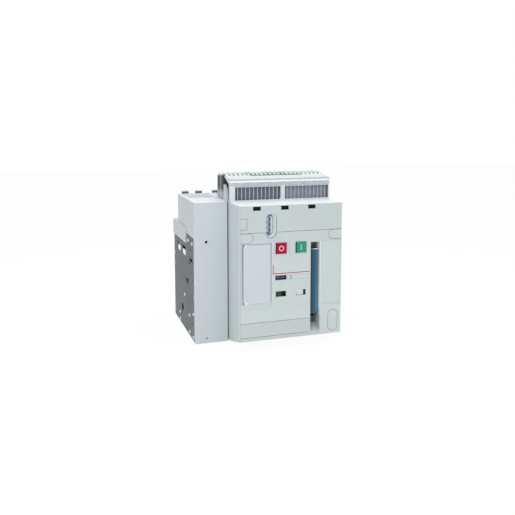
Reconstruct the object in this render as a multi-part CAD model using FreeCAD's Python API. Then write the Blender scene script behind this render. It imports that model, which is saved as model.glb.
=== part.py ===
import FreeCAD, Part
import math
import os

os.makedirs("parts", exist_ok=True)

# Four-pole open-type switch disconnector, fixed version. Millimetres.
# X runs to the right, Y to the back and Z up. The origin is the middle of the foot holes on the floor.

# Pole block
POLES = 4
POLE_PITCH = 85.0
POLE_WALL = 6.0
EDGE_WALL = 1.5
BASE_Z = 3.0
TOP_Z = 354.0
SPLIT_Y = -45.0
BLOCK_BACK = 74.0
BACK_WALL = 8.0
FLOOR_WALL = 10.0
LUG_X = (-26.5, 10.7)
LUG_W, LUG_T, LUG_H = 18.0, 7.0, 10.0
BARRIER_T = 4.0
BARRIER_FOOT_W, BARRIER_FOOT_T = 12.0, 4.0

# Arc chutes
CHUTE_Z = 232.0
CHUTE_LEDGE = 3.5
CHUTE_WALL = 4.0
CHUTE_ROOF = 6.0
PANEL_W, PANEL_Y0, PANEL_Y1, PANEL_T = 54.0, 18.0, 62.0, 1.5
VENTS, VENT_PITCH, VENT_L, VENT_W = 6, 6.0, 44.0, 2.2
CHUTE_SCREW_X, CHUTE_SCREW_IN = 31.0, 16.0
CHUTE_SCREW_R, CHUTE_SHANK_R, CHUTE_HEAD_H = 4.4, 2.6, 2.4
SPLITTERS = 9
SPLITTER_T = 1.8

# Steel side plates
PLATE_T = 3.0
PLATE_FRONT = -130.0
PLATE_BACK = 131.0
PLATE_STEP_Y = -43.0
PLATE_REAR_TOP = 238.0
PLATE_FRONT_TOP = 264.0
FLANGE_W = 30.0
FOOT_X = 156.0
FOOT_Y = 112.0
FOOT_R = 4.5
FOOT_REACH = 9.0
PLATE_SCREWS = ((-65.6, 248.6), (-114.4, 248.6), (-78.0, 57.2), (-79.0, 14.0), (-122.9, 12.2),
                (-123.5, 72.0), (51.4, 30.0), (49.7, 11.0), (-15.6, 95.1), (124.0, 182.3),
                (124.0, 152.1), (124.0, 14.6))
PLATE_HOLES = ((-93.6, 229.0, 2.6), (-54.6, 140.1, 8.0), (-114.4, 156.0, 3.0), (18.5, 52.4, 11.0),
               (-103.4, 41.0, 3.0))
PLATE_WINDOWS = ((38.0, 90.0), (-28.3, 26.0))
PLATE_LANCES = ((-78.0, -66.0, 190.0, 196.0), (-37.0, -27.0, 137.0, 145.0))
WINDOW_Z0, WINDOW_Z1, WINDOW_DARK = 202.0, 224.5, 9.0
SLOT_Y0, SLOT_Y1, SLOT_Z0, SLOT_H = -112.0, -78.0, 200.0, 7.0
SCREW_R, SCREW_H, SCREW_RIM = 4.6, 2.6, 1.2
SHANK_R, SOCKET_R = 2.5, 1.9
BEND_R = 2.6
LANCE_H, LANCE_R = 2.2, 1.5
SINK = 5.0

# Ledge that runs round the rear case
LEDGE_TOP = 278.0
LEDGE_OUT = 3.0
LEDGE_EDGE = 2.0
LEDGE_ROOF = 5.0

# Covers
COVER_LEFT = -88.5
COVER_FRONT = -235.0
COVER_BACK = -141.0
COVER_WALL = 3.5
COVER_LOW_FRONT = 27.0
COVER_LOW_BACK = 1.0
COVER_EDGE = 2.5
SEAM = 2.5
FILLER_WALL = 3.0
FILLER_EDGE = 1.6
FILLER_SCREW_X = -145.2
FILLER_SCREW_Z = (255.6, 13.4)
FILLER_SCREW_R, FILLER_SHANK_R = 3.3, 2.0
FILLER_SCREW_IN, FILLER_SCREW_H = 6.0, 3.0
FILLER_POST_R = 6.0
DRIVER_SLOT = 0.8
CASE_FRONT = -104.0
CASE_FRONT_WALL = 6.0
CASE_ROOF = 12.0
LINK_WAY, LINK_WAY_DOWN, LINK_WAY_UP = 15.0, 18.0, 56.0

# Lines in the front of the cover
GROOVE, GROOVE_T = 0.8, 0.7
PART_LINE_Z = TOP_Z - 65.7
STEP_LINE_Z = 102.4
LOW_LINE_Z, FOOT_LINE_Z = 71.2, 36.0
PANEL_TOP_Z = TOP_Z - 90.8
PANEL_DEPTH = 0.9
TAB_X, TAB_Z0, TAB_Z1 = -69.0, TOP_Z - 57.1, TOP_Z - 30.3
TONGUE_LEFT, TONGUE_RIGHT, TONGUE_Z = -53.7, 138.7, PART_LINE_Z - 24.1
CAP_X, CAP_Z, CAP_W, CAP_H = 151.9, 60.5, 26.3, 54.6

# Front features
DOOR_X0, DOOR_X1 = -80.7, -8.7
DOOR_Z0, DOOR_Z1 = 117.0, TOP_Z - 91.7
DOOR_T = 3.0
DOOR_GAP = 1.4
DOOR_PROUD = 0.2
HINGE_X, HINGE_Y = DOOR_X0 + 4.2, COVER_FRONT + 1.9
HINGE_R, BARREL_R = 1.3, 2.1
HINGE_L = 6.5
BAY_DEPTH = 42.0
BAY_WALL = 2.0
BAY_LIP = 0.6
BAY_SLOTS, BAY_SLOT_PITCH, BAY_SLOT_H, BAY_SLOT_SIDE = 5, 24.0, 4.0, 16.0
FACE_X0, FACE_X1 = -8.3, 90.6
FACE_Z0, FACE_Z1 = 102.8, TOP_Z - 88.0
FACE_T = 2.2
FACE_PROUD = 0.3
FIELD_X0, FIELD_X1, FIELD_Z0, FIELD_Z1 = 30.9, 40.7, FACE_Z1 - 30.5, FACE_Z1 - 4.0
FIELD_LINE = 0.5
BUTTON_W, BUTTON_H = 27.6, 26.6
BUTTON_Z = FACE_Z1 - 17.1
BUTTON_WALL = 2.0
BUTTON_RIM, BUTTON_RIM_PROUD = 1.8, 1.0
OPEN_X, CLOSE_X = 15.6, 66.4
BUTTON_PROUD, BUTTON_SKIRT = 3.0, 5.0
BUTTON_STROKE = 5.0
STEM_R = 5.0
STEM_BACK = -203.0
GUIDE_Y = COVER_FRONT + BUTTON_SKIRT + BUTTON_STROKE + 6
GUIDE_T = 3.0
FLAG_W, FLAG_H = 26.4, 13.4
FLAG_Z = 137.4
FLAG_AXIS_Y, READY_AXIS_Y = -190.0, -200.0
FLAG_PIN_R, FLAG_HUB_R = 2.0, 5.5
FLAG_T, FLAG_GAP = 1.6, 0.8
FLAG_ARM_T = 2.5
FLAG_BELOW, FLAG_ABOVE, READY_ABOVE = 34.0, 12.0, 14.0
PANE_T = 1.2
READY_W, READY_H = 28.6, 11.2
READY_Z = 177.2
WELL_X0, WELL_X1 = 92.4, 117.2
WELL_Z0, WELL_Z1 = 35.1, TOP_Z - 94.6
WELL_WALL = 1.6
WELL_BACK = -194.0
WELL_RISE = 26.0
HANDLE_W = 21.0
HANDLE_TOP = WELL_Z1 - 16.6
HANDLE_FACE = -231.5
HANDLE_EDGE = 5.0
GRIP_T, GRIP_L = 17.0, 30.0
PIVOT_Y, PIVOT_Z = -214.0, 93.0
HANDLE_R = 17.5
HANDLE_SHAFT_R = 6.0
CRANK_REST = -13.0
PAWL_PIN_R = 33.0
PAWL_T, PAWL_BORE_R = 4.0, 2.5
OVAL_X, OVAL_Z = -11.1, TOP_Z - 48.4
OVAL_W, OVAL_H = 27.0, 59.0
OVAL_RIM, OVAL_PROUD = 2.5, 1.0
POCKET_DEPTH, POCKET_WALL = 30.0, 2.0
SLIDE_T = 4.0
SLIDE_X = OVAL_X + 3.6
SLIDE_HOLE_PITCH, SLIDE_HOLE_R = 13.0, 4.2
ACCESSORY_X = (-44.9, 25.0, 94.1)
ACCESSORY_W, ACCESSORY_H = 19.0, 9.6
ACCESSORY_Z = TOP_Z - 7.8
PAD_GAP, PAD_W, PAD_T = 0.8, 11.0, 0.5

# Drive
MECH_X0, MECH_X1 = -4.0, 84.0
MECH_T = 3.0
MECH_FOOT, MECH_TOP = 60.0, TOP_Z - 24
MECH_OUTLINE = [(-226, MECH_FOOT), (-226, MECH_TOP - 62), (-195, MECH_TOP - 56), (-195, MECH_TOP),
                (CASE_FRONT, MECH_TOP), (CASE_FRONT, MECH_FOOT)]
MECH_WINDOWS = ((-145.0, MECH_TOP - 80, 14.0), (-145.0, MECH_TOP - 40, 9.0))
TIE_RODS = ((-218, MECH_FOOT + 8), (-112, MECH_FOOT + 8), (-112, MECH_TOP - 14))
TIE_R = 4.5
FOOT_ZS = (MECH_FOOT + 22, MECH_TOP - 22)
FOOT_TURN, FOOT_TALL = 16.0, 20.0
FLAG_STUB_SIDE = 9.0
BOLT_R, BOLT_H = 5.0, 3.5
SHAFT_Y, SHAFT_Z = -114.0, 112.6
SHAFT_R = 9.0
LEVER_R = 32.0
LEVER_T = 8.0
LEVER_ANGLE = 13.6
LINK_PIN_R = 3.5
LINK_CHEEK = 4.0
LINK_R = 6.0
EYE_PLAY = 0.5
OPEN_SPRING_X, OPEN_SPRING_Y = 60.0, -138.0
ANCHOR_Z, ANCHOR_R = 66.0, 4.0
CAM_Y, CAM_Z = -160.0, 150.0
CAM_SHAFT_R = 8.0
CAM_R0, CAM_RISE = 18.0, 25.0
CAM_FALL = 35.0
CAM_X0, CAM_X1 = 12.0, 20.0
CAM_HUB_R = 13.0
ROLLER_R, ROLLER_PIN_R = 8.0, 3.0
CROSSHEAD_TOP = 9.0
CHEEK_T, CHEEK_R = 4.5, 5.5
RATCHET_R, TOOTH_H = 26.0, 4.5
RATCHET_TEETH = 20
RATCHET_X0, RATCHET_X1 = 70.0, 76.0
SPRING_Y = (-181.0, -139.0)
SPRING_X = 16.0
SPRING_R, SPRING_WIRE = 7.6, 3.2
SPRING_GUIDE_R = 3.5
BRIDGE_Z, BRIDGE_T = TOP_Z - 32, 6.0
LATCH_R, LATCH_HUB_R = 4.0, 7.0
LATCH_Y = -207.0
LATCH_FLAT_X0, LATCH_FLAT_X1 = 34.0, 50.0
LATCH_LEVER_W, LATCH_LEVER_T, LATCH_GAP = 8.0, 3.0, 0.4
OPEN_LATCH_Z, CLOSE_LATCH_Z = BUTTON_Z - 30.9, BUTTON_Z - 48.9
AUX_W, AUX_Y0, AUX_Y1, AUX_H = 34.0, -180.0, -116.0, 82.0
AUX_Z0 = TOP_Z - AUX_H - 22
AUX_RIBS, AUX_RIB_PITCH = 4, 18.0

# Contacts
PIVOT_PIN_Y, PIVOT_PIN_Z = 12.0, 92.0
PIN_R = 4.0
DRIVE_R = 58.0
OPEN_ANGLE = 15.0
TERMINAL_T = 15.0
UPPER_Z = 205.0
LOWER_Z = 73.5
TERMINAL_SIDE = 6.0
TERMINAL_BACK = 126.0
TERMINAL_HOLE_X, TERMINAL_HOLE_IN, TERMINAL_HOLE_R = 15.0, 20.0, 5.5
EAR_T, EAR_R = 4.0, 8.0
EAR_OUT = TERMINAL_SIDE - 1.5
EAR_PLAY = 1.1
FINGERS = 6
FINGER_SPACE = 0.8
FINGER_T = 5.5
FINGER_BACK = 26.0
TIP_T = 3.0
FIXED_TIP_T = 3.5
CAGE_WALL = 3.6
LEAF_W = 5.0
SHUNT_W = 48.0

# Terminal housing on top
HOUSE_FRONT = -157.0
HOUSE_WALL = 2.5
HOUSE_STEP_Z = TOP_Z + 48.0
HOUSE_EDGE_Z = HOUSE_STEP_Z + 8.0
HOUSE_BEVEL = 2.0
HOUSE_RIDGE_Y, HOUSE_RIDGE_Z = -87.0, HOUSE_EDGE_Z + 8.0
HOUSE_CHEEK = 11.0
HOUSE_WINDOWS = ((-75.6, 42.1), (53.5, 171.0))
HOUSE_WINDOW_Z0, HOUSE_WINDOW_Z1 = TOP_Z + 3.5, HOUSE_STEP_Z - 9.0
POST_X0, POST_X1, POST_T = 42.4, 53.2, 1.2
POST_FOOT, POST_FOOT_T = 3.0, 3.0
RIB_PITCH, RIB_T, RIB_DEPTH = 10.3, 2.6, 20.0
COMB_BACK_T = 3.0
ROW_PITCH = 11.4
ROW_COUNT = 23
ROW_A, ROW_B = (-87.0, -67.0), (-59.0, -31.0)
ROW_A_TOP, ROW_B_TOP = HOUSE_RIDGE_Z - 4.0, HOUSE_RIDGE_Z - 7.0
ROW_LINE, ROW_LINE_T, ROW_FOOT = 1.4, 1.2, 4.0
HEAD_W, HEAD_LOW, HEAD_H = 6.8, 2.5, 7.0
MOUTH_W = 3.8
BRACKET_T, BRACKET_TOP, BRACKET_IN = 6.0, 38.0, 8.0
MARKERS_X = ((-24.0, 46.5), (50.0, 113.0))
MARKER_Y0, MARKER_Y1, MARKER_T = -118.0, -112.0, 1.2

# Clearances
FIT = 0.05
PLAY = 0.3
GAP = 0.6

BLOCK_HALF = POLES * POLE_PITCH / 2 + EDGE_WALL
SIDE_X = BLOCK_HALF + PLATE_T
COVER_RIGHT = SIDE_X
POLE_X = [(i - (POLES - 1) / 2) * POLE_PITCH for i in range(POLES)]
CELL_HALF = (POLE_PITCH - POLE_WALL) / 2
FILLER_RIGHT = COVER_LEFT - SEAM
CHUTE_BACK = BLOCK_BACK - BACK_WALL
TERMINAL_W = 2 * (CELL_HALF - CHUTE_LEDGE - TERMINAL_SIDE)
CAGE_HALF = TERMINAL_W / 2 + EAR_OUT - EAR_T - EAR_PLAY - CAGE_WALL
FINGER_PITCH = 2 * (CAGE_HALF - GAP) / FINGERS
FINGER_W = FINGER_PITCH - FINGER_SPACE
FIXED_FACE = FINGER_BACK + TIP_T + PLAY + FIXED_TIP_T
FLAG_FACE = COVER_FRONT + FACE_T + PANE_T + FLAG_GAP
LATCH_AXES = ((LATCH_Y, OPEN_LATCH_Z), (LATCH_Y, CLOSE_LATCH_Z))


def box(x0, x1, y0, y1, z0, z1):
    corner = FreeCAD.Vector(min(x0, x1), min(y0, y1), min(z0, z1))
    return Part.makeBox(abs(x1 - x0), abs(y1 - y0), abs(z1 - z0), corner)


def rod_x(x0, x1, y, z, r):
    return Part.makeCylinder(r, x1 - x0, FreeCAD.Vector(x0, y, z), FreeCAD.Vector(1, 0, 0))


def rod_y(y0, y1, x, z, r):
    return Part.makeCylinder(r, y1 - y0, FreeCAD.Vector(x, y0, z), FreeCAD.Vector(0, 1, 0))


def rod_z(z0, z1, x, y, r):
    return Part.makeCylinder(r, z1 - z0, FreeCAD.Vector(x, y, z0), FreeCAD.Vector(0, 0, 1))


def prism_x(points, x0, x1):
    ring = [FreeCAD.Vector(x0, y, z) for y, z in points]
    face = Part.Face(Part.makePolygon(ring + [ring[0]]))
    return face.extrude(FreeCAD.Vector(x1 - x0, 0, 0))


def prism_y(points, y0, y1):
    ring = [FreeCAD.Vector(x, y0, z) for x, z in points]
    face = Part.Face(Part.makePolygon(ring + [ring[0]]))
    return face.extrude(FreeCAD.Vector(0, y1 - y0, 0))


def stadium_y(cx, cz, w, h, y0, y1):
    """An upright slot shape with round ends, extruded along Y."""
    r = w / 2
    body = box(cx - r, cx + r, y0, y1, cz - h / 2 + r, cz + h / 2 - r)
    low = rod_y(y0, y1, cx, cz - h / 2 + r, r)
    high = rod_y(y0, y1, cx, cz + h / 2 - r, r)
    return body.fuse([low, high]).removeSplitter()


def tab_y(x_edge, x_tip, z0, z1, y0, y1):
    """A flat tongue from x_edge with a half-round end at x_tip, extruded along Y."""
    r = (z1 - z0) / 2
    way = 1.0 if x_tip > x_edge else -1.0
    centre = x_tip - way * r
    body = box(x_edge, centre, y0, y1, z0, z1)
    return body.fuse(rod_y(y0, y1, centre, (z0 + z1) / 2, r)).removeSplitter()


def turned(shape, y, z, degrees):
    """The shape turned about an axis along X through y, z; positive takes the top to the front."""
    out = shape.copy()
    out.rotate(FreeCAD.Vector(0, y, z), FreeCAD.Vector(1, 0, 0), degrees)
    return out


def mirrored(shape):
    return shape.mirror(FreeCAD.Vector(0, 0, 0), FreeCAD.Vector(1, 0, 0))


def rounded(shape, radius, keep):
    """Rounds the edges that keep picks out."""
    edges = [e for e in shape.Edges if keep(e)]
    return shape.makeFillet(radius, edges) if edges else shape


def runs_along(edge, axis):
    a, b = edge.Vertexes[0].Point, edge.Vertexes[-1].Point
    step = b.sub(a)
    parts = [abs(step.x), abs(step.y), abs(step.z)]
    return len(edge.Vertexes) == 2 and parts[axis] > 0.99 * step.Length


def middle(edge):
    return edge.CenterOfMass


def coil(x, y, z0, z1, radius, wire, turns, steps, sides=5):
    """A compression spring standing on Z, made of flat facets."""
    rings = []
    count = turns * steps
    rise = (z1 - z0 - wire) / count
    for i in range(count + 1):
        a = 2 * math.pi * i / steps
        ring = []
        for k in range(sides):
            b = 2 * math.pi * k / sides
            r = radius + wire / 2 * math.cos(b)
            height = z0 + wire / 2 + rise * i + wire / 2 * math.sin(b)
            ring.append(FreeCAD.Vector(x + r * math.cos(a), y + r * math.sin(a), height))
        rings.append(ring)
    faces = []
    for one, two in zip(rings, rings[1:]):
        for k in range(sides):
            m = (k + 1) % sides
            faces.append(Part.Face(Part.makePolygon([one[k], one[m], two[m], one[k]])))
            faces.append(Part.Face(Part.makePolygon([one[k], two[m], two[k], one[k]])))
    for ring in (rings[0], rings[-1]):
        faces.append(Part.Face(Part.makePolygon(ring + [ring[0]])))
    solid = Part.makeSolid(Part.makeShell(faces))
    if solid.Volume < 0:
        solid.reverse()
    return solid


def save(node, solids):
    flat = []
    for shape in solids if isinstance(solids, list) else [solids]:
        flat.extend(shape.Solids)
    whole = flat[0] if len(flat) == 1 else Part.makeCompound(flat)
    whole.exportStep("parts/" + node + ".step")


# Pole block


def plate_recesses(y_from, y_to):
    """Blind recesses in the case behind the openings of both side plates."""
    x0, x1 = BLOCK_HALF - SINK, BLOCK_HALF + 1
    cuts = [rod_x(x0, x1, y, z, r) for y, z, r in PLATE_HOLES if y_from < y < y_to]
    for y0, y1 in PLATE_WINDOWS:
        if y_from < y0 < y_to:
            cuts.append(box(x0, x1, y0, y1, WINDOW_Z1 - WINDOW_DARK, WINDOW_Z1))
    if y_from < SLOT_Y0 < y_to:
        cuts.append(box(x0, x1, SLOT_Y0, SLOT_Y1, SLOT_Z0, SLOT_Z0 + SLOT_H))
    return cuts + [mirrored(cut) for cut in cuts]


def rear_pole_case():
    case = box(-BLOCK_HALF, BLOCK_HALF, SPLIT_Y, BLOCK_BACK, BASE_Z, TOP_Z)
    upper = box(-SIDE_X + 1, SIDE_X - 1, SPLIT_Y, BLOCK_BACK, PLATE_REAR_TOP, TOP_Z)
    out = SIDE_X + LEDGE_OUT
    ledge = box(-out, out, SPLIT_Y + GAP, PLATE_BACK, PLATE_REAR_TOP + PLAY, LEDGE_TOP)
    ledge = rounded(ledge, LEDGE_EDGE, lambda e: middle(e).z > LEDGE_TOP - 0.1 and abs(middle(e).x) > 1)
    notch = box(SIDE_X - 4, out + 1, SPLIT_Y - 1, PLATE_STEP_Y + PLAY, BASE_Z, PLATE_FRONT_TOP + PLAY)
    case = case.fuse([upper, ledge]).cut([notch, mirrored(notch)])
    cuts = plate_recesses(SPLIT_Y, BLOCK_BACK)
    low_half = CELL_HALF - CHUTE_LEDGE
    half = TERMINAL_W / 2
    for x in POLE_X:
        cuts.append(box(x - low_half, x + low_half, SPLIT_Y - 1, BLOCK_BACK - BACK_WALL,
                        BASE_Z + FLOOR_WALL, CHUTE_Z + 1))
        cuts.append(box(x - CELL_HALF, x + CELL_HALF, SPLIT_Y - 1, BLOCK_BACK - BACK_WALL,
                        CHUTE_Z, TOP_Z + 1))
        cuts.append(box(x - CELL_HALF, x + CELL_HALF, BLOCK_BACK, PLATE_BACK + 1,
                        PLATE_REAR_TOP, LEDGE_TOP - LEDGE_ROOF))
        for z in (UPPER_Z, LOWER_Z):
            cuts.append(box(x - half, x + half, SPLIT_Y, BLOCK_BACK + 1,
                            z - TERMINAL_T / 2, z + TERMINAL_T / 2))
    return case.cut(cuts).fuse(top_lugs()).removeSplitter()


def top_lugs():
    """The upstanding lugs along the rear top edge, two to a pole."""
    lugs = []
    for x in POLE_X:
        for offset in LUG_X:
            middle_x = x + offset
            lugs.append(box(middle_x - LUG_W / 2, middle_x + LUG_W / 2, BLOCK_BACK - LUG_T, BLOCK_BACK,
                            TOP_Z - 1, TOP_Z + LUG_H))
    return lugs


def phase_barriers():
    plates = []
    for i in range(POLES + 1):
        x = (i - POLES / 2) * POLE_PITCH
        if i in (0, POLES):
            side = math.copysign(1.0, x)
            near, far = sorted((side * BLOCK_HALF, side * (BLOCK_HALF - PLATE_T)))
            plates.append(box(near, far, BLOCK_BACK, PLATE_BACK - 1, BASE_Z, PLATE_REAR_TOP))
        else:
            t, w = BARRIER_T / 2, BARRIER_FOOT_W / 2
            barrier = box(x - t, x + t, BLOCK_BACK, PLATE_BACK - 1, BASE_Z, PLATE_REAR_TOP)
            foot = box(x - w, x + w, BLOCK_BACK, BLOCK_BACK + BARRIER_FOOT_T, BASE_Z, PLATE_REAR_TOP)
            plates.append(barrier.fuse(foot).removeSplitter())
    return plates


def front_pole_case():
    case = box(-BLOCK_HALF, BLOCK_HALF, CASE_FRONT, SPLIT_Y, BASE_Z, TOP_Z - FILLER_WALL)
    top = box(COVER_LEFT, BLOCK_HALF, COVER_BACK, SPLIT_Y, TOP_Z - FILLER_WALL, TOP_Z)
    wide = box(BLOCK_HALF - 1, SIDE_X, COVER_BACK, SPLIT_Y, PLATE_FRONT_TOP + PLAY, TOP_Z)
    strip = box(BLOCK_HALF - 1, SIDE_X, COVER_BACK, PLATE_FRONT - PLAY, BASE_Z, TOP_Z)
    right = box(BLOCK_HALF - FILLER_WALL, BLOCK_HALF, COVER_BACK, CASE_FRONT, BASE_Z, TOP_Z)
    left = box(COVER_LEFT, COVER_LEFT + FILLER_WALL, COVER_BACK, CASE_FRONT, BASE_Z, TOP_Z)
    low = box(COVER_LEFT, BLOCK_HALF, COVER_BACK, CASE_FRONT, BASE_Z, BASE_Z + FILLER_WALL)
    case = case.fuse([top, wide, strip, right, left, low])
    cuts = plate_recesses(COVER_BACK, SPLIT_Y)
    half = CELL_HALF - CHUTE_LEDGE
    for x in POLE_X:
        cuts.append(box(x - half, x + half, CASE_FRONT + CASE_FRONT_WALL, SPLIT_Y + 1,
                        BASE_Z + FLOOR_WALL, TOP_Z - CASE_ROOF))
        cuts.append(box(x - LINK_WAY, x + LINK_WAY, CASE_FRONT - 1, CASE_FRONT + CASE_FRONT_WALL + 1,
                        SHAFT_Z - LINK_WAY_DOWN, SHAFT_Z + LINK_WAY_UP))
    cuts.append(rod_x(COVER_LEFT - 1, SIDE_X + 1, SHAFT_Y, SHAFT_Z, SHAFT_R + PLAY))
    # Ways down to the front foot holes
    for side in (-1, 1):
        cuts.append(rod_z(BASE_Z - 1, BASE_Z + FILLER_WALL + 1, side * FOOT_X, -FOOT_Y, FOOT_REACH))
    return case.cut(cuts).removeSplitter()


def neutral_pole_cover():
    x0, x1 = -SIDE_X, FILLER_RIGHT
    face = box(x0, x1, COVER_BACK, COVER_BACK + FILLER_WALL, COVER_LOW_BACK, TOP_Z)
    top = box(x0, x1, COVER_BACK, SPLIT_Y, TOP_Z - FILLER_WALL, TOP_Z)
    side = box(x0, x0 + FILLER_WALL, COVER_BACK, SPLIT_Y, PLATE_FRONT_TOP + PLAY, TOP_Z)
    skirt = box(x0, x0 + FILLER_WALL, COVER_BACK, PLATE_FRONT - PLAY, COVER_LOW_BACK, TOP_Z)
    inner = box(x1 - FILLER_WALL, x1, COVER_BACK, CASE_FRONT, COVER_LOW_BACK, TOP_Z)
    low = box(x0, x1, COVER_BACK, PLATE_FRONT - PLAY, COVER_LOW_BACK, COVER_LOW_BACK + FILLER_WALL)
    floor_z = BASE_Z + PLAY
    floor = box(-BLOCK_HALF + PLAY, x1, COVER_BACK + 1, CASE_FRONT, floor_z, floor_z + FILLER_WALL)
    cover = face.fuse([top, side, skirt, inner, low, floor]).removeSplitter()

    def outer(edge):
        p = middle(edge)
        upright = runs_along(edge, 2) and p.y < COVER_BACK + 0.1 and (p.x < x0 + 0.1 or p.x > x1 - 0.1)
        across = runs_along(edge, 0) and p.y < COVER_BACK + 0.1 and p.z > TOP_Z - 0.1
        return upright or across

    cover = rounded(cover, FILLER_EDGE, outer)
    cover = cover.cut(rod_z(BASE_Z, BASE_Z + FILLER_WALL + 2, -FOOT_X, -FOOT_Y, FOOT_REACH))
    way = SHAFT_R + GAP
    cover = cover.cut(box(x1 - FILLER_WALL - 1, x1 + 1, SHAFT_Y - way, CASE_FRONT + 1,
                          SHAFT_Z - way, SHAFT_Z + way))
    for z in FILLER_SCREW_Z:
        seat = COVER_BACK + FILLER_SCREW_IN
        cover = cover.fuse(rod_y(COVER_BACK + 1, CASE_FRONT, FILLER_SCREW_X, z, FILLER_POST_R))
        cover = cover.cut(rod_y(COVER_BACK - 1, seat, FILLER_SCREW_X, z, FILLER_SCREW_R + PLAY))
        cover = cover.cut(rod_y(COVER_BACK, CASE_FRONT + 1, FILLER_SCREW_X, z, FILLER_SHANK_R))
    return cover


def neutral_cover_screws():
    screws = []
    x, r = FILLER_SCREW_X, FILLER_SCREW_R
    seat = COVER_BACK + FILLER_SCREW_IN
    for z in FILLER_SCREW_Z:
        head = rod_y(seat - FILLER_SCREW_H, seat, x, z, r)
        slot = box(x - r - 1, x + r + 1, seat - FILLER_SCREW_H - 1, seat - FILLER_SCREW_H + 1,
                   z - DRIVER_SLOT / 2, z + DRIVER_SLOT / 2)
        shank = rod_y(seat, CASE_FRONT, x, z, FILLER_SHANK_R)
        screws.append(head.cut(slot).fuse(shank).removeSplitter())
    return screws


# Steel side plates


def side_plate_right():
    x0, x1 = BLOCK_HALF - 1, SIDE_X + 1
    outline = [(PLATE_FRONT, 0), (PLATE_BACK, 0), (PLATE_BACK, PLATE_REAR_TOP),
               (PLATE_STEP_Y, PLATE_REAR_TOP), (PLATE_STEP_Y, PLATE_FRONT_TOP),
               (PLATE_FRONT, PLATE_FRONT_TOP)]
    plate = prism_x(outline, BLOCK_HALF, SIDE_X)
    flange = box(SIDE_X - FLANGE_W, SIDE_X, PLATE_FRONT + 5, PLATE_BACK - 6, 0, BASE_Z)
    plate = plate.fuse(flange).removeSplitter()
    plate = rounded(plate, BEND_R, lambda e: runs_along(e, 1) and middle(e).x > SIDE_X - 0.1
                    and middle(e).z < 0.1 and e.Length > 50)
    cuts = [rod_x(x0, x1, y, z, r) for y, z, r in PLATE_HOLES]
    cuts.append(rod_x(x0, x1, SHAFT_Y, SHAFT_Z, SHAFT_R + FIT))
    for y0, y1 in PLATE_WINDOWS:
        cuts.append(box(x0, x1, y0, y1, WINDOW_Z0, WINDOW_Z1))
    for y, z in PLATE_SCREWS:
        cuts.append(rod_x(x0, x1, y, z, SHANK_R))
    slot = [(SLOT_Y0, SLOT_Z0), (SLOT_Y1 - SLOT_H / 2, SLOT_Z0), (SLOT_Y1, SLOT_Z0 + SLOT_H),
            (SLOT_Y0, SLOT_Z0 + SLOT_H)]
    cuts.append(prism_x(slot, x0, x1))
    for side in (-1, 1):
        cuts.append(rod_z(-1, BASE_Z + 1, FOOT_X, side * FOOT_Y, FOOT_R))
    return plate.cut(cuts).fuse(lances()).removeSplitter()


def lances():
    """Small bent tongues that stand proud of the right side plate beside its openings."""
    tongues = []
    for y0, y1, z0, z1 in PLATE_LANCES:
        tongue = box(SIDE_X - 1, SIDE_X + LANCE_H, y0, y1, z0, z1)
        tongues.append(rounded(tongue, LANCE_R, lambda e: middle(e).x > SIDE_X + 2 and runs_along(e, 2)))
    return tongues


def side_plate_screws():
    """Low heads with a bevelled rim and a round socket, alike on both sides."""
    screws = []
    along = FreeCAD.Vector(1, 0, 0)
    rim = SCREW_H - SCREW_RIM
    for y, z in PLATE_SCREWS:
        head = rod_x(SIDE_X, SIDE_X + rim, y, z, SCREW_R)
        edge = FreeCAD.Vector(SIDE_X + rim, y, z)
        bevel = Part.makeCone(SCREW_R, SCREW_R - SCREW_RIM, SCREW_RIM, edge, along)
        socket = rod_x(SIDE_X + rim, SIDE_X + SCREW_H + 1, y, z, SOCKET_R)
        shank = rod_x(BLOCK_HALF, SIDE_X, y, z, SHANK_R)
        right = head.fuse([bevel, shank]).cut(socket).removeSplitter()
        screws.extend([right, mirrored(right)])
    return screws


# Arc chutes


def arc_chutes():
    """One hood to a pole, open below, with slots in the roof and a raised panel."""
    bodies = []
    half = CELL_HALF - PLAY
    w = CHUTE_WALL
    for x in POLE_X:
        body = box(x - half, x + half, SPLIT_Y, CHUTE_BACK, CHUTE_Z, TOP_Z)
        body = body.cut(box(x - half + w, x + half - w, SPLIT_Y + w, CHUTE_BACK - w,
                            CHUTE_Z - 1, TOP_Z - CHUTE_ROOF))
        body = body.fuse(box(x - PANEL_W / 2, x + PANEL_W / 2, SPLIT_Y + PANEL_Y0, SPLIT_Y + PANEL_Y1,
                             TOP_Z - 1, TOP_Z + PANEL_T))
        vents = []
        for i in range(VENTS):
            y = SPLIT_Y + PANEL_Y0 + (i + 1) * VENT_PITCH
            vents.append(box(x - VENT_L / 2, x + VENT_L / 2, y, y + VENT_W,
                             TOP_Z - CHUTE_ROOF - 1, TOP_Z + PANEL_T + 1))
        for side in (-1, 1):
            vents.append(rod_z(TOP_Z - CHUTE_ROOF - 1, TOP_Z + 1, x + side * CHUTE_SCREW_X,
                               CHUTE_BACK - CHUTE_SCREW_IN, CHUTE_SHANK_R))
        bodies.append(body.cut(vents).removeSplitter())
    return bodies


def arc_chute_screws():
    screws = []
    y = CHUTE_BACK - CHUTE_SCREW_IN
    for pole_x in POLE_X:
        for side in (-1, 1):
            x = pole_x + side * CHUTE_SCREW_X
            head = rod_z(TOP_Z, TOP_Z + CHUTE_HEAD_H, x, y, CHUTE_SCREW_R)
            slot = box(x - CHUTE_SCREW_R - 1, x + CHUTE_SCREW_R + 1, y - DRIVER_SLOT / 2, y + DRIVER_SLOT / 2,
                       TOP_Z + CHUTE_HEAD_H / 2, TOP_Z + CHUTE_HEAD_H + 1)
            shank = rod_z(TOP_Z - CHUTE_ROOF, TOP_Z, x, y, CHUTE_SHANK_R)
            screws.append(head.cut(slot).fuse(shank).removeSplitter())
    return screws


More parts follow.
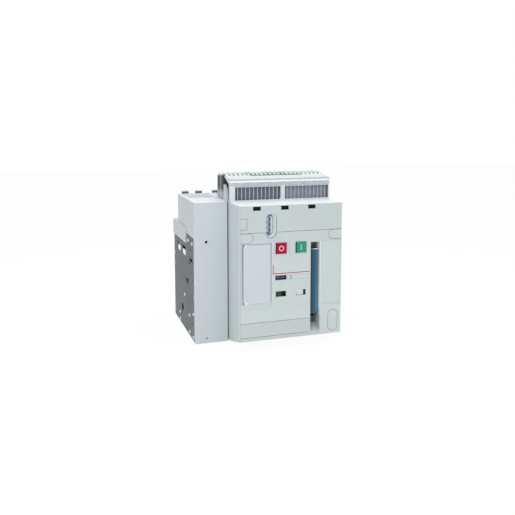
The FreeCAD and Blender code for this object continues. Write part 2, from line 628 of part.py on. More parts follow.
def splitter_plates():
    """Steel plates in each hood, each with a notch that the arc runs up into."""
    plates = []
    half = CELL_HALF - PLAY - CHUTE_WALL
    room = CHUTE_BACK - SPLIT_Y - 2 * (CHUTE_WALL + 3)
    pitch = room / SPLITTERS
    z0, z1 = CHUTE_Z + 8, TOP_Z - CHUTE_ROOF - 8
    notch_w, notch_h = 12, 26
    for x in POLE_X:
        for i in range(SPLITTERS):
            y = SPLIT_Y + CHUTE_WALL + 3 + (i + 0.5) * pitch
            outline = [(x - half, z0), (x - notch_w, z0), (x, z0 + notch_h), (x + notch_w, z0),
                       (x + half, z0), (x + half, z1), (x - half, z1)]
            plates.append(prism_y(outline, y - SPLITTER_T / 2, y + SPLITTER_T / 2))
    return plates


# Terminals and contacts


def upper_terminals():
    bars = []
    half = TERMINAL_W / 2
    z0, z1 = UPPER_Z - TERMINAL_T / 2, UPPER_Z + TERMINAL_T / 2
    for x in POLE_X:
        bar = box(x - half, x + half, FIXED_FACE, TERMINAL_BACK, z0, z1)
        step = box(x - half - EAR_T, x + half + EAR_T, FIXED_FACE + TERMINAL_SIDE, CHUTE_BACK, z0, z1)
        bars.append(drilled(bar.fuse(step).removeSplitter(), x, z0, z1))
    return bars


def lower_terminals():
    """Copper bars with two upright ears each, which carry the pivot pin of the contacts."""
    bars = []
    half = TERMINAL_W / 2
    wide = half + EAR_OUT
    z0, z1 = LOWER_Z - TERMINAL_T / 2, LOWER_Z + TERMINAL_T / 2
    for x in POLE_X:
        bar = box(x - half, x + half, 0, TERMINAL_BACK, z0, z1)
        step = box(x - wide, x + wide, 0, CHUTE_BACK, z0, z1)
        ears = []
        for side in (-1, 1):
            near, far = sorted((x + side * (wide - EAR_T), x + side * wide))
            ears.append(box(near, far, PIVOT_PIN_Y - EAR_R, PIVOT_PIN_Y + EAR_R, z1 - 1, PIVOT_PIN_Z))
            ears.append(rod_x(near, far, PIVOT_PIN_Y, PIVOT_PIN_Z, EAR_R))
        bar = bar.fuse([step] + ears).cut(rod_x(x - wide - 1, x + wide + 1, PIVOT_PIN_Y, PIVOT_PIN_Z, PIN_R))
        bars.append(drilled(bar.removeSplitter(), x, z0, z1))
    return bars


def drilled(bar, x, z0, z1):
    """The bar with its two bolt holes and rounded rear corners."""
    holes = []
    for side in (-1, 1):
        holes.append(rod_z(z0 - 1, z1 + 1, x + side * TERMINAL_HOLE_X, TERMINAL_BACK - TERMINAL_HOLE_IN,
                           TERMINAL_HOLE_R))
    return rounded(bar.cut(holes), 2.0, lambda e: runs_along(e, 2) and middle(e).y > TERMINAL_BACK - 0.1)


def fixed_contact_tips():
    half = FINGERS * FINGER_PITCH / 2
    face = FIXED_FACE - FIXED_TIP_T
    return [box(x - half, x + half, face, FIXED_FACE, UPPER_Z - 6, UPPER_Z + 6) for x in POLE_X]


def pivot_pins():
    half = TERMINAL_W / 2 + EAR_OUT
    return [rod_x(x - half, x + half, PIVOT_PIN_Y, PIVOT_PIN_Z, PIN_R) for x in POLE_X]


def opened(shape):
    return turned(shape, PIVOT_PIN_Y, PIVOT_PIN_Z, OPEN_ANGLE)


def contact_carriers():
    """Insulating cages that hold the fingers, drawn with the contacts open."""
    cages = []
    half = CAGE_HALF
    wide = half + CAGE_WALL
    drive_z = PIVOT_PIN_Z + DRIVE_R
    bar_y = FINGER_BACK - FINGER_T - 4
    for x in POLE_X:
        outline = [(PIVOT_PIN_Y - 8, PIVOT_PIN_Z - 8), (PIVOT_PIN_Y + 8, PIVOT_PIN_Z - 8),
                   (FINGER_BACK, PIVOT_PIN_Z + 20), (FINGER_BACK, drive_z + 14),
                   (PIVOT_PIN_Y - 9, drive_z + 14), (PIVOT_PIN_Y - 9, PIVOT_PIN_Z + 6)]
        parts = [prism_x(outline, x - wide, x - half), prism_x(outline, x + half, x + wide)]
        parts.append(box(x - half, x + half, bar_y - 9, bar_y, PIVOT_PIN_Z + 30, PIVOT_PIN_Z + 38))
        parts.append(box(x - half, x + half, bar_y - 9, bar_y, drive_z + 9, drive_z + 13.5))
        cage = parts[0].fuse(parts[1:])
        cage = cage.cut(rod_x(x - wide - 1, x + wide + 1, PIVOT_PIN_Y, PIVOT_PIN_Z, PIN_R + FIT))
        drive_pin = rod_x(x - wide, x + wide, PIVOT_PIN_Y, drive_z, LINK_PIN_R)
        cages.append(opened(cage.fuse(drive_pin).removeSplitter()))
    return cages


def finger_x(x, i):
    return x + (i - (FINGERS - 1) / 2) * FINGER_PITCH


def contact_fingers():
    """Copper fingers with their contact tips brazed on, drawn open."""
    fingers = []
    y0, y1 = FINGER_BACK - FINGER_T, FINGER_BACK
    outline = [(y0, PIVOT_PIN_Z + 12), (y1, PIVOT_PIN_Z + 12), (y1, UPPER_Z + 6), (y1 - 1, UPPER_Z + 15),
               (y0 - 3, UPPER_Z + 22), (y0 - 3, UPPER_Z + 12), (y0, UPPER_Z)]
    for x in POLE_X:
        for i in range(FINGERS):
            x0 = finger_x(x, i) - FINGER_W / 2
            finger = prism_x(outline, x0, x0 + FINGER_W)
            tip = box(x0, x0 + FINGER_W, FINGER_BACK, FINGER_BACK + TIP_T, UPPER_Z - 7, UPPER_Z + 5)
            fingers.append(opened(finger.fuse(tip)))
    return fingers


def finger_springs():
    """One bowed leaf behind each finger, between it and the two bars of its cage."""
    leaves = []
    y1 = FINGER_BACK - FINGER_T
    z0, z1 = PIVOT_PIN_Z + 30, PIVOT_PIN_Z + DRIVE_R + 12
    zm = (z0 + z1) / 2
    outline = [(y1 - 4, z0), (y1 - 3, z0), (y1, zm - 6), (y1, zm + 6), (y1 - 3, z1), (y1 - 4, z1),
               (y1 - 1, zm + 6), (y1 - 1, zm - 6)]
    for x in POLE_X:
        for i in range(FINGERS):
            x0 = finger_x(x, i) - LEAF_W / 2
            leaves.append(opened(prism_x(outline, x0, x0 + LEAF_W)))
    return leaves


def flexible_shunts():
    """Bent copper straps from the lower terminal to the roots of the fingers."""
    shunts = []
    top = LOWER_Z + TERMINAL_T / 2
    foot = PIVOT_PIN_Y + 26
    near_finger = FINGER_BACK + FIT
    low, high = [opened(rod_x(0, 1, near_finger, PIVOT_PIN_Z + up, 0.5)).CenterOfMass for up in (20, 32)]
    path = [(foot, top), (foot + 14, top), (foot + 14, top + 3), (foot + 3, top + 6), (low.y + 4.5, low.z),
            (high.y + 4, high.z), (high.y, high.z), (low.y, low.z), (foot - 2, top + 3.5)]
    for x in POLE_X:
        shunts.append(prism_x(path, x - SHUNT_W / 2, x + SHUNT_W / 2))
    return shunts


# Main shaft and links


def lever_end(degrees):
    a = math.radians(degrees)
    return SHAFT_Y - LEVER_R * math.sin(a), SHAFT_Z + LEVER_R * math.cos(a)


def main_shaft():
    """The pole shaft and its four levers, drawn with the contacts open."""
    end = SIDE_X - 1
    shaft = rod_x(-end, end, SHAFT_Y, SHAFT_Z, SHAFT_R)
    ly, lz = lever_end(LEVER_ANGLE)
    for x in POLE_X:
        x0, x1 = x - LEVER_T / 2, x + LEVER_T / 2
        hub = rod_x(x0 - 4, x1 + 4, SHAFT_Y, SHAFT_Z, SHAFT_R + 4.5)
        arm = box(x0, x1, SHAFT_Y - 7, SHAFT_Y + 7, SHAFT_Z, SHAFT_Z + LEVER_R)
        arm = turned(arm, SHAFT_Y, SHAFT_Z, LEVER_ANGLE)
        shaft = shaft.fuse([hub, arm, rod_x(x0, x1, ly, lz, 7.0)])
    y_tip = OPEN_SPRING_Y - 5
    taper = [(SHAFT_Y, SHAFT_Z - 8), (SHAFT_Y, SHAFT_Z + 8), (y_tip, SHAFT_Z + 4), (y_tip, SHAFT_Z - 4)]
    spring_arm = prism_x(taper, OPEN_SPRING_X - 2.5, OPEN_SPRING_X + 2.5)
    shaft = shaft.fuse(spring_arm)
    for x in POLE_X:
        shaft = shaft.cut(rod_x(x - LEVER_T, x + LEVER_T, ly, lz, LINK_PIN_R + FIT))
    return shaft.removeSplitter()


def opening_spring():
    return coil(OPEN_SPRING_X, OPEN_SPRING_Y, ANCHOR_Z + 4.2, SHAFT_Z - 4.4, 6.5, 2.0, 8, 10, 4)


def drive_ends():
    drive = opened(rod_x(0, 1, PIVOT_PIN_Y, PIVOT_PIN_Z + DRIVE_R, 0.5)).CenterOfMass
    return lever_end(LEVER_ANGLE), (drive.y, drive.z)


def drive_links():
    """Insulating links, forked over the levers of the shaft and eyed for the pins of the cages."""
    (ly, lz), (dy, dz) = drive_ends()
    slope = math.degrees(math.atan2(dz - lz, dy - ly))
    length = math.hypot(dz - lz, dy - ly)
    wide = LEVER_T / 2 + PLAY + LINK_CHEEK
    links = []
    for x in POLE_X:
        parts = []
        for near in (x - wide, x + wide - LINK_CHEEK):
            far = near + LINK_CHEEK
            parts.append(box(near, far, ly, ly + 4 * LINK_R, lz - LINK_R, lz + LINK_R))
            parts.append(rod_x(near, far, ly, lz, LINK_R))
        parts.append(box(x - wide, x + wide, ly + 16, ly + length, lz - LINK_R, lz + LINK_R))
        parts.append(rod_x(x - wide, x + wide, ly + length, lz, LINK_R))
        link = parts[0].fuse(parts[1:])
        link = link.fuse(rod_x(x - wide, x + wide, ly, lz, LINK_PIN_R))
        link = link.cut(rod_x(x - wide - 1, x + wide + 1, ly + length, lz, LINK_PIN_R + EYE_PLAY))
        links.append(turned(link.removeSplitter(), ly, lz, slope))
    return links


# Stored-energy drive


def drive_plate(x0):
    x1 = x0 + MECH_T
    plate = prism_x(MECH_OUTLINE, x0, x1)
    bores = [(SHAFT_Y, SHAFT_Z, SHAFT_R + PLAY), (CAM_Y, CAM_Z, CAM_SHAFT_R + FIT),
             (PIVOT_Y, PIVOT_Z, HANDLE_SHAFT_R + FIT)]
    bores.extend((y, z, LATCH_R + FIT) for y, z in LATCH_AXES)
    bores.extend(MECH_WINDOWS)
    plate = plate.cut([rod_x(x0 - 1, x1 + 1, y, z, r) for y, z, r in bores])
    out = [x0 - FOOT_TURN, x0] if x0 < 0 else [x1, x1 + FOOT_TURN]
    feet = []
    for z in FOOT_ZS:
        feet.append(box(out[0], out[1], CASE_FRONT - MECH_T, CASE_FRONT,
                        z - FOOT_TALL / 2, z + FOOT_TALL / 2))
    if x0 < 0:
        stub = OPEN_X - FLAG_STUB_SIDE
        feet.append(rod_x(x1, stub, FLAG_AXIS_Y, FLAG_Z, FLAG_PIN_R))
        feet.append(rod_x(x1, stub, READY_AXIS_Y, READY_Z, FLAG_PIN_R))
    else:
        feet.append(rod_x(CLOSE_X + FLAG_STUB_SIDE + FLAG_T, x0, FLAG_AXIS_Y, FLAG_Z, FLAG_PIN_R))
    return plate.fuse(feet).removeSplitter()


def drive_tie_rods():
    rods = [rod_x(MECH_X0 + MECH_T, MECH_X1, y, z, TIE_R) for y, z in TIE_RODS]
    return rods + [rod_x(MECH_X0 + MECH_T, MECH_X1, OPEN_SPRING_Y, ANCHOR_Z, ANCHOR_R)]


def foot_bolts():
    """Hexagon heads on the feet of both drive plates."""
    bolts = []
    face = CASE_FRONT - MECH_T
    for x in (MECH_X0 - FOOT_TURN / 2, MECH_X1 + MECH_T + FOOT_TURN / 2):
        for z in FOOT_ZS:
            corners = [math.radians(a) for a in range(0, 360, 60)]
            outline = [(x + BOLT_R * math.cos(a), z + BOLT_R * math.sin(a)) for a in corners]
            bolts.append(prism_y(outline, face - BOLT_H, face))
    return bolts


def cam_radius(around):
    """Radius of the cam at an angle from the roller, in degrees: a steady rise over the half turn."""
    if around <= 180:
        return CAM_R0 + CAM_RISE * around / 180
    if around <= 180 + CAM_FALL:
        return CAM_R0 + CAM_RISE * (180 + CAM_FALL - around) / CAM_FALL
    return CAM_R0


def camshaft():
    """The shaft with its cam, drawn with the springs relaxed."""
    points = []
    for a in range(0, 360, 9):
        turn = math.radians(90 + a)
        r = cam_radius(a)
        points.append((CAM_Y + r * math.cos(turn), CAM_Z + r * math.sin(turn)))
    cam = prism_x(points, CAM_X0, CAM_X1)
    hub = rod_x(CAM_X0 - 3, CAM_X1 + 3, CAM_Y, CAM_Z, CAM_HUB_R)
    shaft = rod_x(MECH_X0 - 4, MECH_X1 + MECH_T + 4, CAM_Y, CAM_Z, CAM_SHAFT_R)
    return shaft.fuse([cam, hub]).removeSplitter()


def ratchet_wheel():
    points = []
    step = 360 / RATCHET_TEETH
    for i in range(RATCHET_TEETH):
        for share, r in ((0.0, RATCHET_R), (0.12, RATCHET_R - TOOTH_H)):
            a = math.radians((i + share) * step)
            points.append((CAM_Y + r * math.cos(a), CAM_Z + r * math.sin(a)))
    wheel = prism_x(points, RATCHET_X0, RATCHET_X1)
    hub = rod_x(RATCHET_X0 - 4, RATCHET_X1 + 3, CAM_Y, CAM_Z, CAM_HUB_R)
    bore = rod_x(RATCHET_X0 - 5, RATCHET_X1 + 4, CAM_Y, CAM_Z, CAM_SHAFT_R)
    return wheel.fuse(hub).cut(bore).removeSplitter()


def crosshead_z():
    return CAM_Z + CAM_R0 + 2 * ROLLER_R + 1.0


def crosshead():
    """The bar that the cam lifts, with its two fork cheeks and the guide rods of the springs."""
    z = crosshead_z()
    bar = box(SPRING_X - 12, SPRING_X + 12, SPRING_Y[0] - 13, SPRING_Y[1] + 13, z + 2, z + CROSSHEAD_TOP)
    cheeks = []
    roller_z = z - ROLLER_R
    for x0, x1 in ((CAM_X0 - 1 - CHEEK_T, CAM_X0 - 1), (CAM_X1 + 1, CAM_X1 + 1 + CHEEK_T)):
        cheeks.append(box(x0, x1, CAM_Y - 9, CAM_Y + 9, roller_z - 1, z + 3))
        cheeks.append(rod_x(x0, x1, CAM_Y, roller_z, CHEEK_R))
    rods = [rod_z(z + 8, BRIDGE_Z + 2, SPRING_X, y, SPRING_GUIDE_R) for y in SPRING_Y]
    bore = rod_x(CAM_X0 - CHEEK_T - 2, CAM_X1 + CHEEK_T + 2, CAM_Y, roller_z, ROLLER_PIN_R)
    return bar.fuse(cheeks + rods).cut(bore).removeSplitter()


def cam_roller():
    roller_z = crosshead_z() - ROLLER_R
    roller = rod_x(CAM_X0 - 0.5, CAM_X1 + 0.5, CAM_Y, roller_z, ROLLER_R)
    pin = rod_x(CAM_X0 - 1 - CHEEK_T, CAM_X1 + 1 + CHEEK_T, CAM_Y, roller_z, ROLLER_PIN_R)
    return roller.fuse(pin).removeSplitter()


def closing_springs():
    z = crosshead_z() + CROSSHEAD_TOP
    return [coil(SPRING_X, y, z, BRIDGE_Z, SPRING_R, SPRING_WIRE, 11, 12, 5) for y in SPRING_Y]


def spring_bridge():
    bridge = box(MECH_X0 + MECH_T, MECH_X1, SPRING_Y[0] - 12, SPRING_Y[1] + 12, BRIDGE_Z, BRIDGE_Z + BRIDGE_T)
    for y in SPRING_Y:
        bridge = bridge.cut(rod_z(BRIDGE_Z - 1, BRIDGE_Z + BRIDGE_T + 1, SPRING_X, y, SPRING_GUIDE_R + PLAY))
    return bridge


def latch(x_lever, z_axis):
    """A half-shaft across the drive plates with an upright lever behind a button."""
    shaft = rod_x(MECH_X0 - 3, MECH_X1 + MECH_T + 3, LATCH_Y, z_axis, LATCH_R)
    flat = box(LATCH_FLAT_X0, LATCH_FLAT_X1, LATCH_Y - 6, LATCH_Y - 0.5, z_axis - 6, z_axis + 6)
    half = LATCH_LEVER_W / 2
    face = STEM_BACK + LATCH_GAP
    lever = box(x_lever - half, x_lever + half, face, face + LATCH_LEVER_T, z_axis, BUTTON_Z + STEM_R)
    hub = rod_x(x_lever - half - 1, x_lever + half + 1, LATCH_Y, z_axis, LATCH_HUB_R)
    return shaft.cut(flat).fuse([lever, hub]).removeSplitter()


# Charging handle


def handle_grip(x0, x1, y0, y1):
    """Front view of the lever drawn back along Y: square at the top, half-round at the foot."""
    r = HANDLE_W / 2
    foot = PIVOT_Z - HANDLE_R + r
    grip = box(x0, x1, y0, y1, foot, HANDLE_TOP).fuse(rod_y(y0, y1, (x0 + x1) / 2, foot, r)).removeSplitter()
    return rounded(grip, HANDLE_EDGE, lambda e: middle(e).y < y0 + 0.1 and middle(e).z < HANDLE_TOP - 1)


def charging_handle():
    """A moulded lever, full and rounded at the front, that ends in the barrel on its shaft."""
    mid = (WELL_X0 + WELL_X1) / 2
    x0, x1 = mid - HANDLE_W / 2, mid + HANDLE_W / 2
    back = PIVOT_Y + HANDLE_R
    outline = [(HANDLE_FACE, PIVOT_Z), (HANDLE_FACE, HANDLE_TOP - 4), (HANDLE_FACE + 3, HANDLE_TOP),
               (HANDLE_FACE + 15, HANDLE_TOP), (HANDLE_FACE + GRIP_T, HANDLE_TOP - GRIP_L),
               (back - 4, PIVOT_Z + 60), (back, PIVOT_Z)]
    lever = prism_x(outline, x0, x1).fuse(rod_x(x0, x1, PIVOT_Y, PIVOT_Z, HANDLE_R)).removeSplitter()
    lever = lever.common(handle_grip(x0, x1, HANDLE_FACE, back + 1))
    return lever.cut(rod_x(x0 - 1, x1 + 1, PIVOT_Y, PIVOT_Z, HANDLE_SHAFT_R))


def pawl_axis():
    a = math.radians(CRANK_REST)
    return PIVOT_Y + PAWL_PIN_R * math.cos(a), PIVOT_Z + PAWL_PIN_R * math.sin(a)


def handle_shaft():
    """The shaft that turns with the handle, with the crank that carries the pawl."""
    cy, cz = pawl_axis()
    x0, x1 = RATCHET_X0, RATCHET_X1
    arm = box(x0, x1, PIVOT_Y, PIVOT_Y + PAWL_PIN_R, PIVOT_Z - 5, PIVOT_Z + 5)
    arm = turned(arm, PIVOT_Y, PIVOT_Z, CRANK_REST)
    crank = rod_x(x0, x1, PIVOT_Y, PIVOT_Z, 11).fuse([arm, rod_x(x0, x1, cy, cz, 5)])
    crank = crank.fuse(rod_x(x0 - PLAY - PAWL_T - 0.7, x0, cy, cz, PAWL_BORE_R))
    shaft = rod_x(x0 - 4, WELL_X1 + WELL_WALL + 3, PIVOT_Y, PIVOT_Z, HANDLE_SHAFT_R)
    return shaft.fuse(crank).removeSplitter()


def charging_pawl():
    cy, cz = pawl_axis()
    x1 = RATCHET_X0 - PLAY
    x0 = x1 - PAWL_T
    nose = [(cy - 4, cz - 5), (cy + 15, cz - 1), (cy + 15.5, cz + 2), (cy + 2, cz + 5), (cy - 5, cz + 4)]
    body = prism_x(nose, x0, x1).fuse(rod_x(x0, x1, cy, cz, 5.5))
    body = turned(body, cy, cz, CRANK_REST)
    return body.cut(rod_x(x0 - 1, x1 + 1, cy, cz, PAWL_BORE_R + FIT)).removeSplitter()


def handle_well():
    """The narrow trough that the charging handle lies in, with its floor running out to the front."""
    x0, x1 = WELL_X0, WELL_X1
    lip = COVER_FRONT + 0.2
    back = WELL_BACK - WELL_WALL
    outer = prism_x([(lip, WELL_Z0 - WELL_WALL), (WELL_BACK, WELL_Z0 + 8), (WELL_BACK, WELL_Z1 + WELL_WALL),
                     (lip, WELL_Z1 + WELL_WALL)], x0 - WELL_WALL, x1 + WELL_WALL)
    inner = prism_x([(COVER_FRONT - 1, WELL_Z0), (WELL_BACK - 10, WELL_Z0 + 14), (back, WELL_Z0 + WELL_RISE),
                     (back, WELL_Z1), (COVER_FRONT - 1, WELL_Z1)], x0, x1)
    bore = rod_x(x0 - WELL_WALL - 1, x1 + WELL_WALL + 1, PIVOT_Y, PIVOT_Z, HANDLE_SHAFT_R + PLAY)
    return outer.cut([inner, bore])


# Front cover and what sits in it


def cover_blank():
    outline = [(COVER_FRONT, COVER_LOW_FRONT), (COVER_BACK, COVER_LOW_BACK), (COVER_BACK, TOP_Z),
               (COVER_FRONT, TOP_Z)]
    shell = prism_x(outline, COVER_LEFT, COVER_RIGHT)

    def outer(edge):
        p = middle(edge)
        front = p.y < COVER_FRONT + 0.1
        side = (p.x < COVER_LEFT + 0.1 or p.x > COVER_RIGHT - 0.1) and p.y < COVER_BACK - 1
        return front or side

    shell = rounded(shell, COVER_EDGE, outer)
    w = COVER_WALL
    inside = [(COVER_FRONT + w, COVER_LOW_FRONT + w), (COVER_BACK + 1, COVER_LOW_BACK + w),
              (COVER_BACK + 1, TOP_Z - w), (COVER_FRONT + w, TOP_Z - w)]
    return shell.cut(prism_x(inside, COVER_LEFT + w, COVER_RIGHT - w))


def line_groove(x0, x1, z):
    return box(x0, x1, COVER_FRONT - 1, COVER_FRONT + GROOVE_T, z - GROOVE / 2, z + GROOVE / 2)


def tab_groove(x_edge, x_tip, z0, z1):
    """Outline of a blank cap that runs in from a side of the cover with a round end."""
    y0, y1 = COVER_FRONT - 1, COVER_FRONT + GROOVE_T
    way = 1 if x_tip > x_edge else -1
    outer = tab_y(x_edge - way, x_tip, z0, z1, y0, y1)
    return outer.cut(tab_y(x_edge - 2 * way, x_tip - way * GROOVE, z0 + GROOVE, z1 - GROOVE, y0 - 1, y1 + 1))


def square_groove(x_edge, x_tip, z0, z1):
    y0, y1 = COVER_FRONT - 1, COVER_FRONT + GROOVE_T
    outer = box(x_edge - 1, x_tip, y0, y1, z0, z1)
    return outer.cut(box(x_edge - 2, x_tip - GROOVE, y0 - 1, y1 + 1, z0 + GROOVE, z1 - GROOVE))


def cap_groove():
    y0, y1 = COVER_FRONT - 1, COVER_FRONT + GROOVE_T
    outer = stadium_y(CAP_X, CAP_Z, CAP_W, CAP_H, y0, y1)
    return outer.cut(stadium_y(CAP_X, CAP_Z, CAP_W - 2 * GROOVE, CAP_H - 2 * GROOVE, y0 - 1, y1 + 1))


def accessory_pads():
    """Thin raised fields at the right of the three upper windows."""
    pads = []
    for x in ACCESSORY_X:
        x0 = x + ACCESSORY_W / 2 + PAD_GAP
        pads.append(box(x0, x0 + PAD_W, COVER_FRONT - PAD_T, COVER_FRONT + 1,
                        ACCESSORY_Z - ACCESSORY_H / 2 - 1, ACCESSORY_Z + ACCESSORY_H / 2 + 1))
    return pads


def front_cover():
    """The moulded front with its openings, the lines of its blank caps and its sunk panel."""
    y0, y1 = COVER_FRONT - 1, COVER_FRONT + COVER_WALL + 1
    well_x0, well_x1 = WELL_X0 - WELL_WALL, WELL_X1 + WELL_WALL
    cuts = []
    for x in ACCESSORY_X:
        cuts.append(box(x - ACCESSORY_W / 2, x + ACCESSORY_W / 2, y0, y1,
                        ACCESSORY_Z - ACCESSORY_H / 2, ACCESSORY_Z + ACCESSORY_H / 2))
    cuts.append(stadium_y(OVAL_X, OVAL_Z, OVAL_W, OVAL_H, y0, y1))
    cuts.append(box(DOOR_X0, DOOR_X1, y0, y1, DOOR_Z0, DOOR_Z1))
    cuts.append(box(FACE_X0, FACE_X1, y0, COVER_FRONT + FACE_T, FACE_Z0, FACE_Z1))
    cuts.append(box(FACE_X0 + 5, FACE_X1 - 3, y0, y1, FACE_Z0 + 6, FACE_Z1 - 2))
    cuts.append(box(well_x0, well_x1, y0, y1, WELL_Z0 - WELL_WALL, WELL_Z1 + WELL_WALL))
    cuts.append(box(well_x1 + 1, COVER_RIGHT - COVER_EDGE, y0, COVER_FRONT + PANEL_DEPTH,
                    STEP_LINE_Z, PANEL_TOP_Z))
    cuts.append(line_groove(COVER_LEFT - 1, COVER_RIGHT + 1, PART_LINE_Z))
    for z in (LOW_LINE_Z, FOOT_LINE_Z):
        cuts.append(line_groove(COVER_LEFT - 1, well_x0 - 1, z))
    cuts.append(square_groove(COVER_LEFT, TAB_X, TAB_Z0, TAB_Z1))
    cuts.append(tab_groove(COVER_LEFT, TONGUE_LEFT, TONGUE_Z, PART_LINE_Z))
    cuts.append(tab_groove(COVER_RIGHT, TONGUE_RIGHT, TONGUE_Z, PART_LINE_Z))
    cuts.append(cap_groove())
    return cover_blank().cut(cuts).fuse(accessory_pads()).removeSplitter()


def accessory_windows():
    panes = []
    w, h = ACCESSORY_W / 2, ACCESSORY_H / 2
    back = COVER_FRONT + COVER_WALL
    for x in ACCESSORY_X:
        pane = box(x - w, x + w, COVER_FRONT + 1.2, back, ACCESSORY_Z - h, ACCESSORY_Z + h)
        lip = box(x - w - 2, x + w + 2, back, back + 1.5, ACCESSORY_Z - h - 3, TOP_Z - COVER_WALL - GAP)
        panes.append(pane.fuse(lip).removeSplitter())
    return panes


def padlock_bezel():
    """Oval collar round the padlock slide, with a closed pocket behind it."""
    depth = COVER_FRONT + POCKET_DEPTH
    outer = stadium_y(OVAL_X, OVAL_Z, OVAL_W, OVAL_H, COVER_FRONT - OVAL_PROUD, depth)
    inner = stadium_y(OVAL_X, OVAL_Z, OVAL_W - 2 * OVAL_RIM, OVAL_H - 2 * OVAL_RIM,
                      COVER_FRONT - OVAL_PROUD - 1, depth - POCKET_WALL)
    outer = rounded(outer, 0.8, lambda e: middle(e).y < COVER_FRONT - OVAL_PROUD + 0.1)
    return outer.cut(inner)


def padlock_slide():
    """Flat steel tab with three padlock holes, on a carriage that slides in the pocket."""
    y0, y1 = COVER_FRONT + 3.0, COVER_FRONT + POCKET_DEPTH - POCKET_WALL - 2
    h = OVAL_H / 2 - 9
    steps = [k * SLIDE_HOLE_PITCH for k in (-1, 0, 1)]
    tab = box(SLIDE_X - SLIDE_T / 2, SLIDE_X + SLIDE_T / 2, y0, y1, OVAL_Z - h, OVAL_Z + h)
    tab = rounded(tab, 4.0, lambda e: runs_along(e, 0) and middle(e).y < y0 + 0.1)
    holes = [rod_x(SLIDE_X - 5, SLIDE_X + 5, y0 + 8.5, OVAL_Z + step, SLIDE_HOLE_R) for step in steps]
    back = box(OVAL_X - 10.4, OVAL_X + 10.4, y1 - 3, y1, OVAL_Z - h + 2, OVAL_Z + h - 2)
    rib = box(OVAL_X - 9.5, OVAL_X - 3.5, y0 + 6, y1, OVAL_Z - 4, OVAL_Z + 4)
    ribs = [rib.translated(FreeCAD.Vector(0, 0, step)) for step in steps]
    return tab.cut(holes).fuse([back] + ribs).removeSplitter()


def release_bay():
    """Open-fronted box behind the blank door, where a trip unit would sit on a breaker."""
    w, lip = BAY_WALL, BAY_LIP
    y0, y1 = COVER_FRONT, COVER_FRONT + BAY_DEPTH
    outer = box(DOOR_X0, DOOR_X1, y0 + lip, y1, DOOR_Z0, DOOR_Z1)
    inner = box(DOOR_X0 + w, DOOR_X1 - w, y0, y1 - w, DOOR_Z0 + w, DOOR_Z1 - w)
    rebate = box(DOOR_X0 + lip, DOOR_X1 - lip, y0, y0 + DOOR_T + 1.8, DOOR_Z0 + lip, DOOR_Z1 - lip)
    slots = []
    for k in range(BAY_SLOTS):
        z = DOOR_Z0 + (k + 1) * BAY_SLOT_PITCH
        slots.append(box(DOOR_X0 + BAY_SLOT_SIDE, DOOR_X1 - BAY_SLOT_SIDE, y1 - w - 2, y1 + 1,
                         z - BAY_SLOT_H / 2, z + BAY_SLOT_H / 2))
    return outer.cut([inner, rebate] + slots)


def blank_door():
    """Plain plate that closes the bay, with a barrel for a hinge pin at each left corner."""
    x0, x1 = HINGE_X, DOOR_X1 - DOOR_GAP
    z0, z1 = DOOR_Z0 + DOOR_GAP, DOOR_Z1 - DOOR_GAP
    y0 = COVER_FRONT - DOOR_PROUD
    door = box(x0, x1, y0, y0 + DOOR_T, z0, z1)
    door = rounded(door, 1.0, lambda e: middle(e).y < y0 + 0.1 and middle(e).x > x0 + 1)
    door = door.fuse(rod_z(z0, z1, HINGE_X, HINGE_Y, BARREL_R))
    reach = HINGE_L + GAP
    pins = [rod_z(z0 - 1, z0 + reach, HINGE_X, HINGE_Y, HINGE_R + FIT),
            rod_z(z1 - reach, z1 + 1, HINGE_X, HINGE_Y, HINGE_R + FIT)]
    rim = box(x0 + 4, x1 - 2, y0 + DOOR_T - 1.2, y0 + DOOR_T + 1, z0 + 3, z1 - 3)
    return door.cut(pins + [rim]).removeSplitter()


def door_hinge_pins():
    z0, z1 = DOOR_Z0 + BAY_LIP, DOOR_Z1 - BAY_LIP
    length = DOOR_GAP - BAY_LIP + HINGE_L
    return [rod_z(z, z + length, HINGE_X, HINGE_Y, HINGE_R) for z in (z0, z1 - length)]


def face_plate():
    """Plate that carries the buttons and has the windows of the flags."""
    y0, y1 = COVER_FRONT - FACE_PROUD, COVER_FRONT + FACE_T
    plate = box(FACE_X0 + 0.1, FACE_X1 - 0.1, y0, y1, FACE_Z0 + 0.1, FACE_Z1 - 0.1)
    w, h = BUTTON_W / 2 + PLAY, BUTTON_H / 2 + PLAY
    cuts = []
    for x in (OPEN_X, CLOSE_X):
        cuts.append(box(x - w, x + w, y0 - 1, y1 + 1, BUTTON_Z - h, BUTTON_Z + h))
        cuts.append(box(x - FLAG_W / 2, x + FLAG_W / 2, y0 - 1, y1 + 1,
                        FLAG_Z - FLAG_H / 2, FLAG_Z + FLAG_H / 2))
    cuts.append(box(OPEN_X - READY_W / 2, OPEN_X + READY_W / 2, y0 - 1, y1 + 1,
                    READY_Z - READY_H / 2, READY_Z + READY_H / 2))
    line = FIELD_LINE
    field = box(FIELD_X0, FIELD_X1, y0 - 1, y0 + 0.4, FIELD_Z0, FIELD_Z1)
    inside = box(FIELD_X0 + line, FIELD_X1 - line, y0 - 2, y0 + 1, FIELD_Z0 + line, FIELD_Z1 - line)
    cuts.append(field.cut(inside))
    return plate.cut(cuts).fuse(button_frames()).removeSplitter()


def button_frames():
    """Narrow raised rims round the two buttons."""
    rings = []
    y0, y1 = COVER_FRONT - BUTTON_RIM_PROUD, COVER_FRONT + 0.5
    w, h, rim = BUTTON_W / 2 + PLAY, BUTTON_H / 2 + PLAY, BUTTON_RIM
    for x in (OPEN_X, CLOSE_X):
        ring = box(x - w - rim, x + w + rim, y0, y1, BUTTON_Z - h - rim, BUTTON_Z + h + rim)
        rings.append(ring.cut(box(x - w, x + w, y0 - 1, y1 + 1, BUTTON_Z - h, BUTTON_Z + h)))
    return rings


